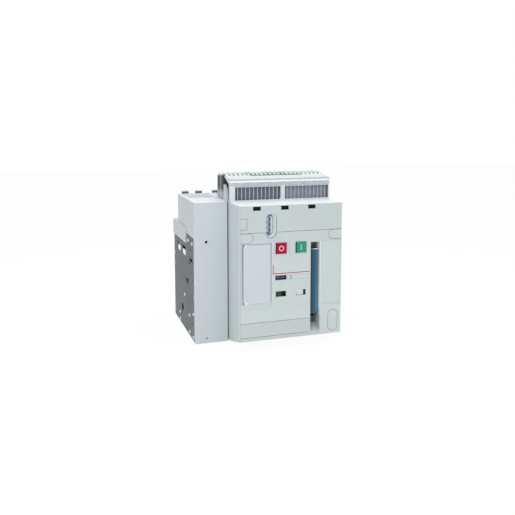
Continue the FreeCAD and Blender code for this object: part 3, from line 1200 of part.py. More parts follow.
def push_button(x):
    y0 = COVER_FRONT - BUTTON_PROUD
    w, h, t = BUTTON_W / 2, BUTTON_H / 2, BUTTON_WALL
    cap = box(x - w, x + w, y0, COVER_FRONT + BUTTON_SKIRT, BUTTON_Z - h, BUTTON_Z + h)
    cap = rounded(cap, 1.2, lambda e: middle(e).y < y0 + 0.1 or runs_along(e, 1))
    hollow = box(x - w + t, x + w - t, y0 + t, COVER_FRONT + BUTTON_SKIRT + 1,
                 BUTTON_Z - h + t, BUTTON_Z + h - t)
    stem = rod_y(y0 + t - 0.5, STEM_BACK, x, BUTTON_Z, STEM_R)
    return cap.cut(hollow).fuse(stem).removeSplitter()


def button_guide():
    """Bracket behind the face plate that guides both button stems and backs their springs."""
    plate = box(MECH_X0 + MECH_T, MECH_X1, GUIDE_Y, GUIDE_Y + GUIDE_T, BUTTON_Z - 15, BUTTON_Z + 12)
    for x in (OPEN_X, CLOSE_X):
        plate = plate.cut(rod_y(GUIDE_Y - 1, GUIDE_Y + GUIDE_T + 1, x, BUTTON_Z, STEM_R + PLAY))
    return plate


def button_springs():
    springs = []
    seat = COVER_FRONT - BUTTON_PROUD + BUTTON_WALL
    for x in (OPEN_X, CLOSE_X):
        spring = coil(0, 0, 0, GUIDE_Y - seat, SPRING_R, 1.2, 4, 10, 4)
        spring.rotate(FreeCAD.Vector(0, 0, 0), FreeCAD.Vector(1, 0, 0), -90)
        spring.translate(FreeCAD.Vector(x, seat, BUTTON_Z))
        springs.append(spring)
    return springs


def flag_windows():
    panes = []
    y0 = COVER_FRONT + FACE_T
    y1, lap = y0 + PANE_T, 1.5
    w, h = FLAG_W / 2 + lap, FLAG_H / 2 + lap
    for x in (OPEN_X, CLOSE_X):
        panes.append(box(x - w, x + w, y0, y1, FLAG_Z - h, FLAG_Z + h))
    panes.append(box(OPEN_X - READY_W / 2 - GAP, OPEN_X + READY_W / 2 + lap, y0, y1,
                     READY_Z - READY_H / 2 - lap, READY_Z + READY_H / 2 + lap))
    return panes


def drum_flag(x0, x1, axis_y, axis_z, arm_x0, arm_x1, above):
    """A curved flag on an arm, turning behind its window."""
    r = axis_y - FLAG_FACE
    ring = rod_x(x0, x1, axis_y, axis_z, r).cut(rod_x(x0 - 1, x1 + 1, axis_y, axis_z, r - FLAG_T))
    reach = 2 * r
    wedge = [(axis_y, axis_z), (axis_y - reach, axis_z + reach * math.tan(math.radians(above))),
             (axis_y - reach, axis_z - reach * math.tan(math.radians(FLAG_BELOW)))]
    sector = ring.common(prism_x(wedge, x0 - 1, x1 + 1))
    arm = box(arm_x0, arm_x1, axis_y - r + FLAG_T - 1, axis_y, axis_z - 4, axis_z + 4)
    hub = rod_x(arm_x0, arm_x1, axis_y, axis_z, FLAG_HUB_R)
    bore = rod_x(arm_x0 - 1, arm_x1 + 1, axis_y, axis_z, FLAG_PIN_R + FIT)
    return sector.fuse([arm, hub]).cut(bore).removeSplitter()


def position_flag():
    x0 = OPEN_X - FLAG_W / 2 + 0.7
    return drum_flag(x0, OPEN_X + FLAG_W / 2 - GAP, FLAG_AXIS_Y, FLAG_Z, x0, x0 + FLAG_ARM_T, FLAG_ABOVE)


def spring_flag():
    x1 = CLOSE_X + FLAG_W / 2 + 1.0
    x0 = CLOSE_X - FLAG_W / 2 + GAP
    return drum_flag(x0, x1 - GAP, FLAG_AXIS_Y, FLAG_Z, x1 - FLAG_ARM_T, x1, FLAG_ABOVE)


def ready_flag():
    x0 = OPEN_X - READY_W / 2 + 0.9
    return drum_flag(x0, OPEN_X + READY_W / 2 - 0.9, READY_AXIS_Y, READY_Z, x0, x0 + FLAG_ARM_T, READY_ABOVE)


def auxiliary_switch():
    """Block of auxiliary contacts beside the drive, with four ribs on its front."""
    x0 = MECH_X1 + MECH_T
    body = box(x0, x0 + AUX_W, AUX_Y0, AUX_Y1, AUX_Z0, AUX_Z0 + AUX_H)
    ribs = []
    for k in range(AUX_RIBS):
        z = AUX_Z0 + 8 + k * AUX_RIB_PITCH
        ribs.append(box(x0 + 4, x0 + AUX_W - 4, AUX_Y0 - 2, AUX_Y0 + 1, z, z + 10))
    return body.fuse(ribs).removeSplitter()


# Terminal housing


def terminal_housing():
    """Moulded hood over the auxiliary terminals: front wall, step, sloping roof and two end cheeks."""
    x0, x1 = COVER_LEFT, COVER_RIGHT
    f, t, bevel = HOUSE_FRONT, HOUSE_WALL, HOUSE_FRONT + HOUSE_BEVEL
    wall = box(x0, x1, f, f + t, TOP_Z, HOUSE_STEP_Z)
    upper = prism_x([(bevel, HOUSE_STEP_Z - t), (bevel, HOUSE_EDGE_Z), (HOUSE_RIDGE_Y, HOUSE_RIDGE_Z),
                     (HOUSE_RIDGE_Y, HOUSE_RIDGE_Z - t), (bevel + t, HOUSE_EDGE_Z - t),
                     (bevel + t, HOUSE_STEP_Z - t)], x0, x1)
    cheek = [(f, TOP_Z), (f, HOUSE_STEP_Z), (bevel, HOUSE_EDGE_Z), (HOUSE_RIDGE_Y, HOUSE_RIDGE_Z),
             (f + HOUSE_CHEEK, HOUSE_STEP_Z - 5), (f + HOUSE_CHEEK, TOP_Z)]
    ends = [prism_x(cheek, x0, x0 + t), prism_x(cheek, x1 - t, x1)]
    cuts = []
    for left, right in HOUSE_WINDOWS:
        cuts.append(box(left, right, f - 1, f + t + 0.5, HOUSE_WINDOW_Z0, HOUSE_WINDOW_Z1))
    return wall.fuse([upper] + ends).cut(cuts).fuse(window_post()).removeSplitter()


def window_post():
    """The post between the two windows, with its foot."""
    f = HOUSE_FRONT
    post = box(POST_X0, POST_X1, f - POST_T, f + 1, HOUSE_WINDOW_Z0 - 1, HOUSE_STEP_Z - 3)
    foot = box(POST_X0 - POST_FOOT, POST_X1, f - POST_FOOT_T, f + 1, TOP_Z, HOUSE_WINDOW_Z0 + 3)
    return post.fuse(foot).removeSplitter()


def comb_ribs():
    ribs = []
    y0 = HOUSE_FRONT + HOUSE_WALL + 1.5
    for left, right in HOUSE_WINDOWS:
        count = int((right - left) / RIB_PITCH)
        start = (left + right) / 2 - (count - 1) * RIB_PITCH / 2
        for i in range(count):
            x = start + i * RIB_PITCH
            ribs.append(box(x - RIB_T / 2, x + RIB_T / 2, y0, y0 + RIB_DEPTH,
                            HOUSE_WINDOW_Z0 - 1, HOUSE_WINDOW_Z1 + 2))
    return ribs


def comb_back():
    """The dark back, shelf and roof that hold the ribs."""
    x0, x1 = COVER_LEFT + HOUSE_WALL, COVER_RIGHT - HOUSE_WALL
    near = HOUSE_FRONT + HOUSE_WALL + 0.5
    far = HOUSE_FRONT + HOUSE_WALL + 1.5 + RIB_DEPTH
    back = box(x0, x1, far, far + COMB_BACK_T, TOP_Z, HOUSE_STEP_Z + 2)
    shelf = box(x0, x1, near, far, TOP_Z, HOUSE_WINDOW_Z0 - 1)
    roof = box(x0, x1, near, far, HOUSE_WINDOW_Z1 + 2, HOUSE_WINDOW_Z1 + 4)
    return back.fuse([shelf, roof]).removeSplitter()


def row_x(i):
    return (COVER_LEFT + COVER_RIGHT) / 2 + (i - (ROW_COUNT - 1) / 2) * ROW_PITCH


def terminal_carriers():
    """Two dark insulating rows that the wire terminals stand in, with a line between each pair of poles."""
    front = box(COVER_LEFT, COVER_RIGHT, ROW_A[0], ROW_A[1], TOP_Z, ROW_A_TOP)
    back = box(COVER_LEFT, COVER_RIGHT, ROW_B[0], ROW_B[1], TOP_Z, ROW_B_TOP)
    lines = []
    for i in range(ROW_COUNT + 1):
        x = row_x(i - 0.5)
        lines.append(box(x - ROW_LINE / 2, x + ROW_LINE / 2, ROW_B[1] - ROW_LINE_T, ROW_B[1] + 1,
                         TOP_Z + ROW_FOOT, ROW_B_TOP + 1))
    return [front, back.cut(lines)]


def terminal_rail():
    return box(COVER_LEFT + 1, COVER_RIGHT - 1, ROW_A[1], ROW_B[0], TOP_Z, ROW_B_TOP)


def wire_terminals():
    """Light terminal heads on both rows, each a tooth with a wire mouth."""
    heads = []
    for i in range(ROW_COUNT):
        x = row_x(i)
        for (y0, y1), z in ((ROW_A, ROW_A_TOP), (ROW_B, ROW_B_TOP)):
            outline = [(y0 + 1, z), (y1 - 1, z), (y1 - 1, z + HEAD_LOW), (y1 - 7, z + HEAD_H - 0.5),
                       (y0 + 6, z + HEAD_H), (y0 + 1, z + HEAD_LOW + 0.5)]
            head = prism_x(outline, x - HEAD_W / 2, x + HEAD_W / 2)
            mid = (y0 + y1) / 2
            half = MOUTH_W / 2
            heads.append(head.cut(box(x - half, x + half, mid - half, mid + half, z + 2, z + HEAD_H + 1)))
    return heads


def marker_strips():
    """Thin marker strips that lie on the sloping roof."""
    foot = HOUSE_FRONT + HOUSE_BEVEL
    rise = (HOUSE_RIDGE_Z - HOUSE_EDGE_Z) / (HOUSE_RIDGE_Y - foot)
    y0, y1 = MARKER_Y0, MARKER_Y1
    z0, z1 = HOUSE_EDGE_Z + (y0 - foot) * rise, HOUSE_EDGE_Z + (y1 - foot) * rise
    section = [(y0, z0), (y1, z1), (y1, z1 + MARKER_T), (y0, z0 + MARKER_T)]
    return [prism_x(section, x0, x1) for x0, x1 in MARKERS_X]


def rail_brackets():
    """Light angle feet that hold the rows at both ends."""
    y0, y1 = HOUSE_FRONT + 34, ROW_A[0]
    outline = [(y0, TOP_Z), (y1, TOP_Z), (y1, TOP_Z + BRACKET_TOP), (y1 - BRACKET_IN, TOP_Z + BRACKET_TOP),
               (y0, TOP_Z + 6)]
    left = COVER_LEFT + 2
    right = COVER_RIGHT - 2 - BRACKET_T
    return [prism_x(outline, x, x + BRACKET_T) for x in (left, right)]


PLATE = side_plate_right()
NODES = {
    "side_plate_right": PLATE,
    "side_plate_left": mirrored(PLATE),
    "side_plate_screws": side_plate_screws(),
    "rear_pole_case": rear_pole_case(),
    "phase_barriers": phase_barriers(),
    "front_pole_case": front_pole_case(),
    "neutral_pole_cover": neutral_pole_cover(),
    "cover_screws": neutral_cover_screws() + arc_chute_screws(),
    "arc_chutes": arc_chutes(),
    "splitter_plates": splitter_plates(),
    "upper_terminals": upper_terminals(),
    "lower_terminals": lower_terminals(),
    "fixed_contact_tips": fixed_contact_tips(),
    "pivot_pins": pivot_pins(),
    "contact_carriers": contact_carriers(),
    "contact_fingers": contact_fingers(),
    "finger_springs": finger_springs(),
    "flexible_shunts": flexible_shunts(),
    "main_shaft": main_shaft(),
    "opening_spring": opening_spring(),
    "drive_links": drive_links(),
    "drive_plate_left": drive_plate(MECH_X0),
    "drive_plate_right": drive_plate(MECH_X1),
    "drive_tie_rods": drive_tie_rods() + foot_bolts(),
    "camshaft": camshaft(),
    "ratchet_wheel": ratchet_wheel(),
    "crosshead": crosshead(),
    "cam_roller": cam_roller(),
    "closing_springs": closing_springs(),
    "spring_bridge": spring_bridge(),
    "open_latch": latch(OPEN_X, OPEN_LATCH_Z),
    "close_latch": latch(CLOSE_X, CLOSE_LATCH_Z),
    "charging_handle": charging_handle(),
    "handle_shaft": handle_shaft(),
    "charging_pawl": charging_pawl(),
    "handle_well": handle_well(),
    "front_cover": front_cover(),
    "accessory_windows": accessory_windows(),
    "padlock_bezel": padlock_bezel(),
    "padlock_slide": padlock_slide(),
    "release_bay": release_bay(),
    "blank_door": blank_door(),
    "door_hinge_pins": door_hinge_pins(),
    "face_plate": face_plate(),
    "open_button": push_button(OPEN_X),
    "close_button": push_button(CLOSE_X),
    "button_guide": button_guide(),
    "button_springs": button_springs(),
    "flag_windows": flag_windows(),
    "position_flag": position_flag(),
    "spring_flag": spring_flag(),
    "ready_flag": ready_flag(),
    "auxiliary_switch": auxiliary_switch(),
    "terminal_housing": terminal_housing(),
    "comb_ribs": comb_ribs(),
    "comb_back": comb_back(),
    "terminal_carriers": terminal_carriers(),
    "terminal_rail": [terminal_rail()] + rail_brackets(),
    "wire_terminals": wire_terminals(),
    "marker_strips": marker_strips(),
}

for node, shape in NODES.items():
    save(node, shape)
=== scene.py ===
"""Four-pole open-type switch disconnector: finishes, visible detail and studio stage."""

import math

import bmesh
import bpy
from bpy.props import FloatProperty, FloatVectorProperty, PointerProperty
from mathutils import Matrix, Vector


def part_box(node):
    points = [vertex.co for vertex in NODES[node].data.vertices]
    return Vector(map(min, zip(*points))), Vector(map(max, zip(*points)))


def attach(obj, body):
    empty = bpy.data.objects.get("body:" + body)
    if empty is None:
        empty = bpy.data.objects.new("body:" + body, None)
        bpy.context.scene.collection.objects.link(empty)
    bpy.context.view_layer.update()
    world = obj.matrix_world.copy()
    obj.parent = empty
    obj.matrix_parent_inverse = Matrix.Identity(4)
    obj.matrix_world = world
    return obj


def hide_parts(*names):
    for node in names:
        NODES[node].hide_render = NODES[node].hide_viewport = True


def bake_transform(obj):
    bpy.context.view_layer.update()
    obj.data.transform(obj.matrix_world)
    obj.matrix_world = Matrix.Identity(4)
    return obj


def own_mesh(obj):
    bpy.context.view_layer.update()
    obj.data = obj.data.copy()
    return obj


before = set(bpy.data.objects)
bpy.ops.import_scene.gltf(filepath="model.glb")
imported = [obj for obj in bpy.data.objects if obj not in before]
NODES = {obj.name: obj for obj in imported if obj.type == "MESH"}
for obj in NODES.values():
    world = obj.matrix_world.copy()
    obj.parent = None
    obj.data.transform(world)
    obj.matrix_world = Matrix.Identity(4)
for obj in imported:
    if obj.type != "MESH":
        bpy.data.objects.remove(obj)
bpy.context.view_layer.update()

bl_info = {
    "name": "Open-type switch disconnector",
    "version": (1, 0, 0),
    "blender": (4, 5, 0),
    "location": "3D View > Sidebar > Switch",
    "description": "Finishes, visible detail and stage of a four-pole switch disconnector",
    "category": "Object",
}

MM = 0.001
BLACK = (0, 0, 0)

# Places on the CAD model that the corners of its nodes don't give, in millimetres

POLE_PITCH = 85.0
LANCE = 2.2  # how far the bent tongues stand proud of the side plates
POST_FOOT = 3.0  # how far the foot of the window post stands before the housing's front wall
COVER_GROOVES = (71.2, 102.4, 288.3)  # heights of the grooves across the front cover
COVER_SCREWS = (-145.2, -136.2, (255.6, 13.4))  # x, y and heights of the neutral cover's screws
CHUTE_SCREWS = (31.0, 50.0)  # x from the middle of a pole, and y
TERMINAL_HOLES_Y = 106.0
CLOSING_SPRINGS = (16.0, (-181.0, -139.0))  # x, and the y of each
OPENING_SPRING = (60.0, -138.0)  # x and y
PLATE_SCREWS = ((-65.6, 248.6), (-114.4, 248.6), (-78.0, 57.2), (-79.0, 14.0), (-122.9, 12.2), (-123.5, 72.0),
                (51.4, 30.0), (49.7, 11.0), (-15.6, 95.1), (124.0, 182.3), (124.0, 152.1), (124.0, 14.6))


def paint(red, green, blue):
    """Linear colour of a screen colour given from 0 to 255."""
    return tuple(((c / 255 + 0.055) / 1.055) ** 2.4 if c > 10 else c / 255 / 12.92 for c in (red, green, blue))


def shade(colour, share):
    return tuple(min(c * share, 1.0) for c in colour)


def reach(node):
    """Lowest and highest corner of a node in millimetres."""
    low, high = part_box(node)
    return Vector(low) / MM, Vector(high) / MM


def cover_face():
    """Y of the front cover's face, behind its outer rim."""
    return reach("front_cover")[0].y + 0.5


def plate_face():
    """X of the right side plate's outer face."""
    return reach("side_plate_right")[1].x - LANCE


# Sizes and colours that a user may change


def length(name, description, default):
    return FloatProperty(name=name, description=description + ", mm", default=default, min=0)


class SwitchSizes(bpy.types.PropertyGroup):
    moulded_edge: length("Moulded edge", "Rounding of moulded edges", 0.5)
    metal_edge: length("Metal edge", "Rounding of machined edges", 0.25)
    small_edge: length("Small edge", "Rounding on small pieces", 0.15)
    grain: length("Moulded grain", "Size of the moulded surface grain", 0.45)
    print_height: length("Print height", "How far printed marks stand proud", 0.06)
    rule_width: length("Rule width", "Width of the red rule", 1.9)
    screw_radius: length("Plate screw", "Head radius of the side plate screws", 4.6)
    mark_radius: length("Ring mark", "Middle radius of the open button's ring", 5.4)
    mark_width: length("Mark width", "Line width of the marks on the buttons", 2.3)


def colour(name, description, default):
    return FloatVectorProperty(name=name, description=description, default=default, subtype="COLOR", min=0, max=1)


class SwitchColours(bpy.types.PropertyGroup):
    cover: colour("Cover", "Moulded front cover", paint(187, 195, 195))
    case: colour("Case", "Moulded pole case and covers", paint(192, 199, 202))
    door: colour("Door", "Blank door", paint(193, 200, 205))
    housing: colour("Housing", "Terminal housing", paint(206, 213, 214))
    plate: colour("Side plate", "Zinc coated sheet steel", paint(89, 97, 100))
    handle: colour("Handle", "Painted charging handle", paint(42, 80, 101))
    red: colour("Open button", "Red push button", paint(158, 5, 46))
    green: colour("Close button", "Green push button", paint(50, 137, 118))
    copper: colour("Copper", "Bare copper", (0.72, 0.36, 0.22))
    tin: colour("Tin plating", "Plating on the terminals", (0.62, 0.60, 0.57))
    dark: colour("Dark insulation", "Moulded thermoset", paint(58, 61, 66))
    comb: colour("Comb", "Ribs behind the housing windows", paint(164, 166, 177))


def sizes():
    return bpy.context.scene.switch_sizes


def colours():
    return bpy.context.scene.switch_colours


# Node trees


def chained(operation, swapped=False):
    """A method that adds one Math node between a signal and another value."""

    def method(self, other=0.0):
        values = (other, self) if swapped else (self, other)
        return self.tree.add("ShaderNodeMath", dict(enumerate(values)), {"operation": operation})

    return method


class Signal:
    """One output socket of a node tree; arithmetic on it adds Math nodes."""

    __add__, __radd__ = chained("ADD"), chained("ADD", True)
    __sub__, __rsub__ = chained("SUBTRACT"), chained("SUBTRACT", True)
    __mul__, __rmul__ = chained("MULTIPLY"), chained("MULTIPLY", True)
    __pow__ = chained("POWER")
    __abs__ = chained("ABSOLUTE")
    most, least = chained("MAXIMUM"), chained("MINIMUM")

    def __init__(self, tree, socket):
        self.tree = tree
        self.socket = socket


def far(one, two):
    """Distance from the origin of a point whose two coordinates are signals."""
    return (one * one + two * two) ** 0.5


class Tree:
    """A node tree that grows node by node."""

    def __init__(self, tree):
        self.nodes, self.links = tree.nodes, tree.links
        self.nodes.clear()

    def add(self, kind, inputs=None, settings=None, output=0):
        """Adds a node and sets its inputs, given by name or number; gives one of its outputs."""
        node = self.nodes.new(kind)
        for name, value in (settings or {}).items():
            setattr(node, name, value)
        for name, value in (inputs or {}).items():
            self.plug(node.inputs[name], value)
        return Signal(self, node.outputs[output] if node.outputs else None)

    def plug(self, socket, value):
        if isinstance(value, Signal):
            self.links.new(value.socket, socket)
        elif socket.type == "RGBA" and len(value) == 3:
            socket.default_value = (*value, 1.0)
        else:
            socket.default_value = value


class Shader(Tree):
    """The tree of one finish, around a Principled surface."""

    def __init__(self, name, **constants):
        self.material = bpy.data.materials.new(name)
        self.material.use_nodes = True
        super().__init__(self.material.node_tree)
        self.surface = self.nodes.new("ShaderNodeBsdfPrincipled")
        self.output = self.nodes.new("ShaderNodeOutputMaterial").inputs["Surface"]
        self.links.new(self.surface.outputs[0], self.output)
        self.place = self.add("ShaderNodeTexCoord", output="Object")
        for socket, value in constants.items():
            self.feed(socket.replace("_", " ").title(), value)

    def feed(self, socket, value):
        self.plug(self.surface.inputs[socket.replace("Ior", "IOR")], value)

    def axis(self, letter):
        """Distance along one axis of the object, in millimetres."""
        return self.add("ShaderNodeSeparateXYZ", {0: self.place}, output=letter.upper()) * (1 / MM)

    def stretched(self, x, y, z):
        """Object coordinates scaled along each axis."""
        return self.add("ShaderNodeVectorMath", {0: self.place, 1: (x, y, z)}, {"operation": "MULTIPLY"})

    def noise(self, size, detail=2.0, roughness=0.5, place=None):
        """Cloudy noise with features of the given size in millimetres."""
        inputs = {"Vector": place or self.place, "Scale": 1 / (size * MM), "Detail": detail, "Roughness": roughness}
        return self.add("ShaderNodeTexNoise", inputs)

    def cells(self, size, settings=None):
        return self.add("ShaderNodeTexVoronoi", {"Vector": self.place, "Scale": 1 / (size * MM)}, settings)

    def ramp(self, value, low, high):
        """Rises from 0 to 1 as value, a signal or an axis letter, goes from low to high."""
        value = self.axis(value) if isinstance(value, str) else value
        return self.add("ShaderNodeMapRange", {"Value": value, "From Min": low, "From Max": high})

    def fall(self, value, low, high):
        """Drops from 1 to 0 as value goes from low to high."""
        return 1 - self.ramp(value, low, high)

    def band(self, value, low, high, soft=0.3):
        """1 between low and high, 0 outside."""
        return self.ramp(value, low - soft, low) * self.fall(value, high, high + soft)

    def blend(self, share, first, second):
        """Colour mix from first to second."""
        return self.add("ShaderNodeMix", {0: share, 6: first, 7: second}, {"data_type": "RGBA"}, 2)

    def lay(self, body, *coats):
        """Lays colours over one another, each where its share is 1."""
        for share, shown in coats:
            body = self.blend(share, body, shown)
        return body

    def coat(self, share, base, low, high, tone=None):
        """Base colour that drifts between two shades of one colour, under a tone if one is given."""
        body = self.blend(share, shade(base, low), shade(base, high))
        self.feed("Base Color", tone(self, body) if tone else body)

    def glow(self, share, shown, strength):
        """Light given off where share is 1."""
        self.feed("Emission Color", self.blend(share, BLACK, shown))
        self.feed("Emission Strength", strength)

    def relief(self, height, depth):
        """Bump whose full height is depth, in millimetres."""
        self.feed("Normal", self.add("ShaderNodeBump", {"Height": height, "Distance": depth * MM}))


# Finishes; a tone is a function from a shader and its colour to a new colour


def moulded(name, base, roughness=0.5, depth=0.025, tone=None):
    """Satin moulded plastic: fine erosion grain, slow colour drift, faint flow marks."""
    shader = Shader(name)
    grain = sizes().grain
    fine = shader.noise(grain, 2.0, 0.6)
    pits = shader.cells(grain * 2.2)
    slow = shader.noise(60.0, 3.0, 0.55)
    shader.coat(slow * 0.75 + fine * 0.25, base, 0.955, 1.04, tone)
    shader.feed("Roughness", fine * 0.12 + slow * 0.08 + (roughness - 0.10))
    shader.relief(fine * 0.6 + pits * 0.4, depth)
    return shader.material


def glossy(name, base, tone, sheen=0.5):
    """Polished plastic with a faint orange peel and fine handling marks."""
    shader = Shader(name, specular_ior_level=sheen, coat_weight=sheen * 0.7, coat_roughness=0.08)
    peel = shader.noise(2.2, 1.0, 0.4)
    rubs = shader.noise(7.0, 4.0, 0.65, shader.stretched(1, 1, 0.35))
    shader.coat(rubs, base, 0.93, 1.05, tone)
    shader.feed("Roughness", rubs * 0.16 + 0.24)
    shader.relief(peel, 0.02)
    return shader.material


def zinc_sheet(name, base, tone=None):
    """Rolled and zinc coated sheet: long rolling grain, pale spangle, dull smears."""
    shader = Shader(name, metallic=0.45)
    grain = shader.noise(1.6, 3.0, 0.7, shader.stretched(1, 0.08, 1))
    spangle = shader.cells(9.0, {"feature": "SMOOTH_F1"})
    smears = shader.noise(38.0, 4.0, 0.6)
    shader.coat(grain * 0.4 + spangle * 0.35 + smears * 0.35, base, 0.80, 1.22, tone)
    shader.feed("Roughness", smears * 0.22 + grain * 0.12 + 0.34)
    shader.relief(grain * 0.7 + spangle * 0.3, 0.02)
    return shader.material


def bright_metal(name, base, roughness=0.3, along="x", metallic=0.9, **constants):
    """Turned or plated metal with fine tool marks along one axis."""
    shader = Shader(name, metallic=metallic, **constants)
    marks = shader.noise(0.9, 3.0, 0.65, shader.stretched(*(0.05 if axis == along else 1.0 for axis in "xyz")))
    dull = shader.noise(12.0, 3.0, 0.6)
    shader.coat(dull, base, 0.82, 1.12)
    shader.feed("Roughness", marks * 0.16 + dull * 0.14 + (roughness - 0.12))
    shader.relief(marks, 0.012)
    return shader.material


def plated_copper(name, bolted=False):
    """Tinned busbar copper, worn to the copper near its bolt holes."""
    shader = Shader(name, metallic=0.85)
    rub = shader.noise(5.0, 5.0, 0.65)
    brushed = shader.noise(0.8, 2.0, 0.6, shader.stretched(1, 0.06, 1))

    def worn(shader, body):
        near = shader.fall(abs(shader.axis("y") - TERMINAL_HOLES_Y), 4.0, 15.0)
        return shader.blend(shader.ramp(near * 0.6 + rub, 0.78, 0.92), body, colours().copper)

    shader.coat(rub, colours().tin, 0.88, 1.12, worn if bolted else None)
    shader.feed("Roughness", rub * 0.2 + brushed * 0.12 + 0.24)
    shader.relief(brushed, 0.015)
    return shader.material


def enamel(name, base):
    """Enamelled lever: soft orange peel, painted shade on its sides and top face, a painted highlight along its
    right edge and round its foot, and a painted highlight on the lip of its top edge.
    """
    shader = Shader(name, specular_ior_level=0.3, coat_weight=0.2, coat_roughness=0.15)
    low, high = reach("charging_handle")
    radius = (high.x - low.x) / 2
    peel = shader.noise(1.4, 1.0, 0.5)
    rub = shader.noise(3.0, 5.0, 0.7)
    height = shader.axis("z")
    across = shader.axis("x") - (low.x + high.x) / 2
    below = (height - (low.z + radius)).least(0.0)
    out = far(across, below)
    front = shader.fall(shader.axis("y") - low.y, 5.5, 7.0)
    # Painted shade on the left side and on the right edge.
    left, right = shader.fall(across, radius * -0.62, radius * -0.2), shader.ramp(across, radius - 2.4, radius - 1.2)
    # Painted highlight along the right edge and round the foot, palest near the foot.
    highlight_streak = shader.band(out, radius - 6.8, radius - 3.4, 1.4) * shader.ramp(across - below * 1.1, -1.0, 3.0)
    pale = shader.blend(shader.ramp(height, low.z + 40, low.z + 110), shade(base, 2.4), shade(base, 1.6))
    # Painted shade on the top face, and a painted highlight on the lip of the top edge.
    top = shader.ramp(height, high.z - 0.8, high.z - 0.4)
    lip = shader.band(height, high.z - 2.4, high.z - 1.0, 0.4) * shader.ramp(across, -radius, radius * 0.4)

    def lit(shader, body):
        # Lays the painted shade and highlights over the enamel's colour.
        return shader.lay(
            body, (left * 0.85, shade(base, 0.5)), (right * 0.7, shade(base, 0.55)), (highlight_streak * front * 0.85, pale),
            (top, shade(base, 0.45)), (lip * 0.9, paint(236, 242, 246)),
        )

    shader.coat(rub, base, 0.92, 1.06, lit)
    shader.feed("Roughness", rub * 0.14 + lip * 0.12 + 0.26)
    shader.relief(peel, 0.02)
    return shader.material


def matt(name, base, tone=None):
    """Dull painted sheet with a fine speckle."""
    shader = Shader(name, specular_ior_level=0.1)
    speck = shader.noise(0.9, 3.0, 0.65)
    shader.coat(speck, base, 0.93, 1.06, tone)
    shader.feed("Roughness", speck * 0.14 + 0.5)
    shader.relief(speck, 0.01)
    return shader.material


def pane(name, tint):
    """Clear window pane with light scuffs."""
    shader = Shader(name, base_color=tint, specular_ior_level=0.02)
    scuffs = shader.noise(2.0, 5.0, 0.7, shader.stretched(1, 1, 0.2))
    shader.feed("Roughness", scuffs * 0.14 + 0.02)
    shader.feed("Alpha", scuffs * 0.04 + 0.01)
    return shader.material


def inked(name, base):
    """Screen-printed ink with a slightly uneven coat."""
    shader = Shader(name)
    uneven = shader.noise(1.2, 3.0, 0.6)
    shader.coat(uneven, base, 0.9, 1.08)
    shader.feed("Roughness", uneven * 0.2 + 0.35)
    shader.relief(uneven, 0.01)
    return shader.material


# Meshes of the built pieces, drawn in millimetres


def corner(pair, along, level):
    """A point given by its level on one axis and its place on the two others, in X, Y, Z order."""
    rest = iter(pair)
    return [level if axis == along else next(rest) for axis in "xyz"]


def turns(steps, start=0.0):
    """Angles of equal steps round a circle."""
    return [2 * math.pi * (k + start) / steps for k in range(steps)]


def ring(point, axis, radii, height=0.0):
    """Points at equal angles round an axis, at the given radii."""
    turn = Vector(axis).to_track_quat("Z", "Y").to_matrix()
    polar = zip(radii, turns(len(radii)))
    return [Vector(point) + turn @ Vector((r * math.cos(a), r * math.sin(a), height)) for r, a in polar]


def cross(radius, steps):
    """Radii of a cross with four narrow arms."""
    return [radius * (0.34 + 0.66 * abs(math.cos(2 * angle)) ** 5) for angle in turns(steps)]


def show(made):
    """Puts an object into the scene."""
    bpy.context.scene.collection.objects.link(made)
    return made


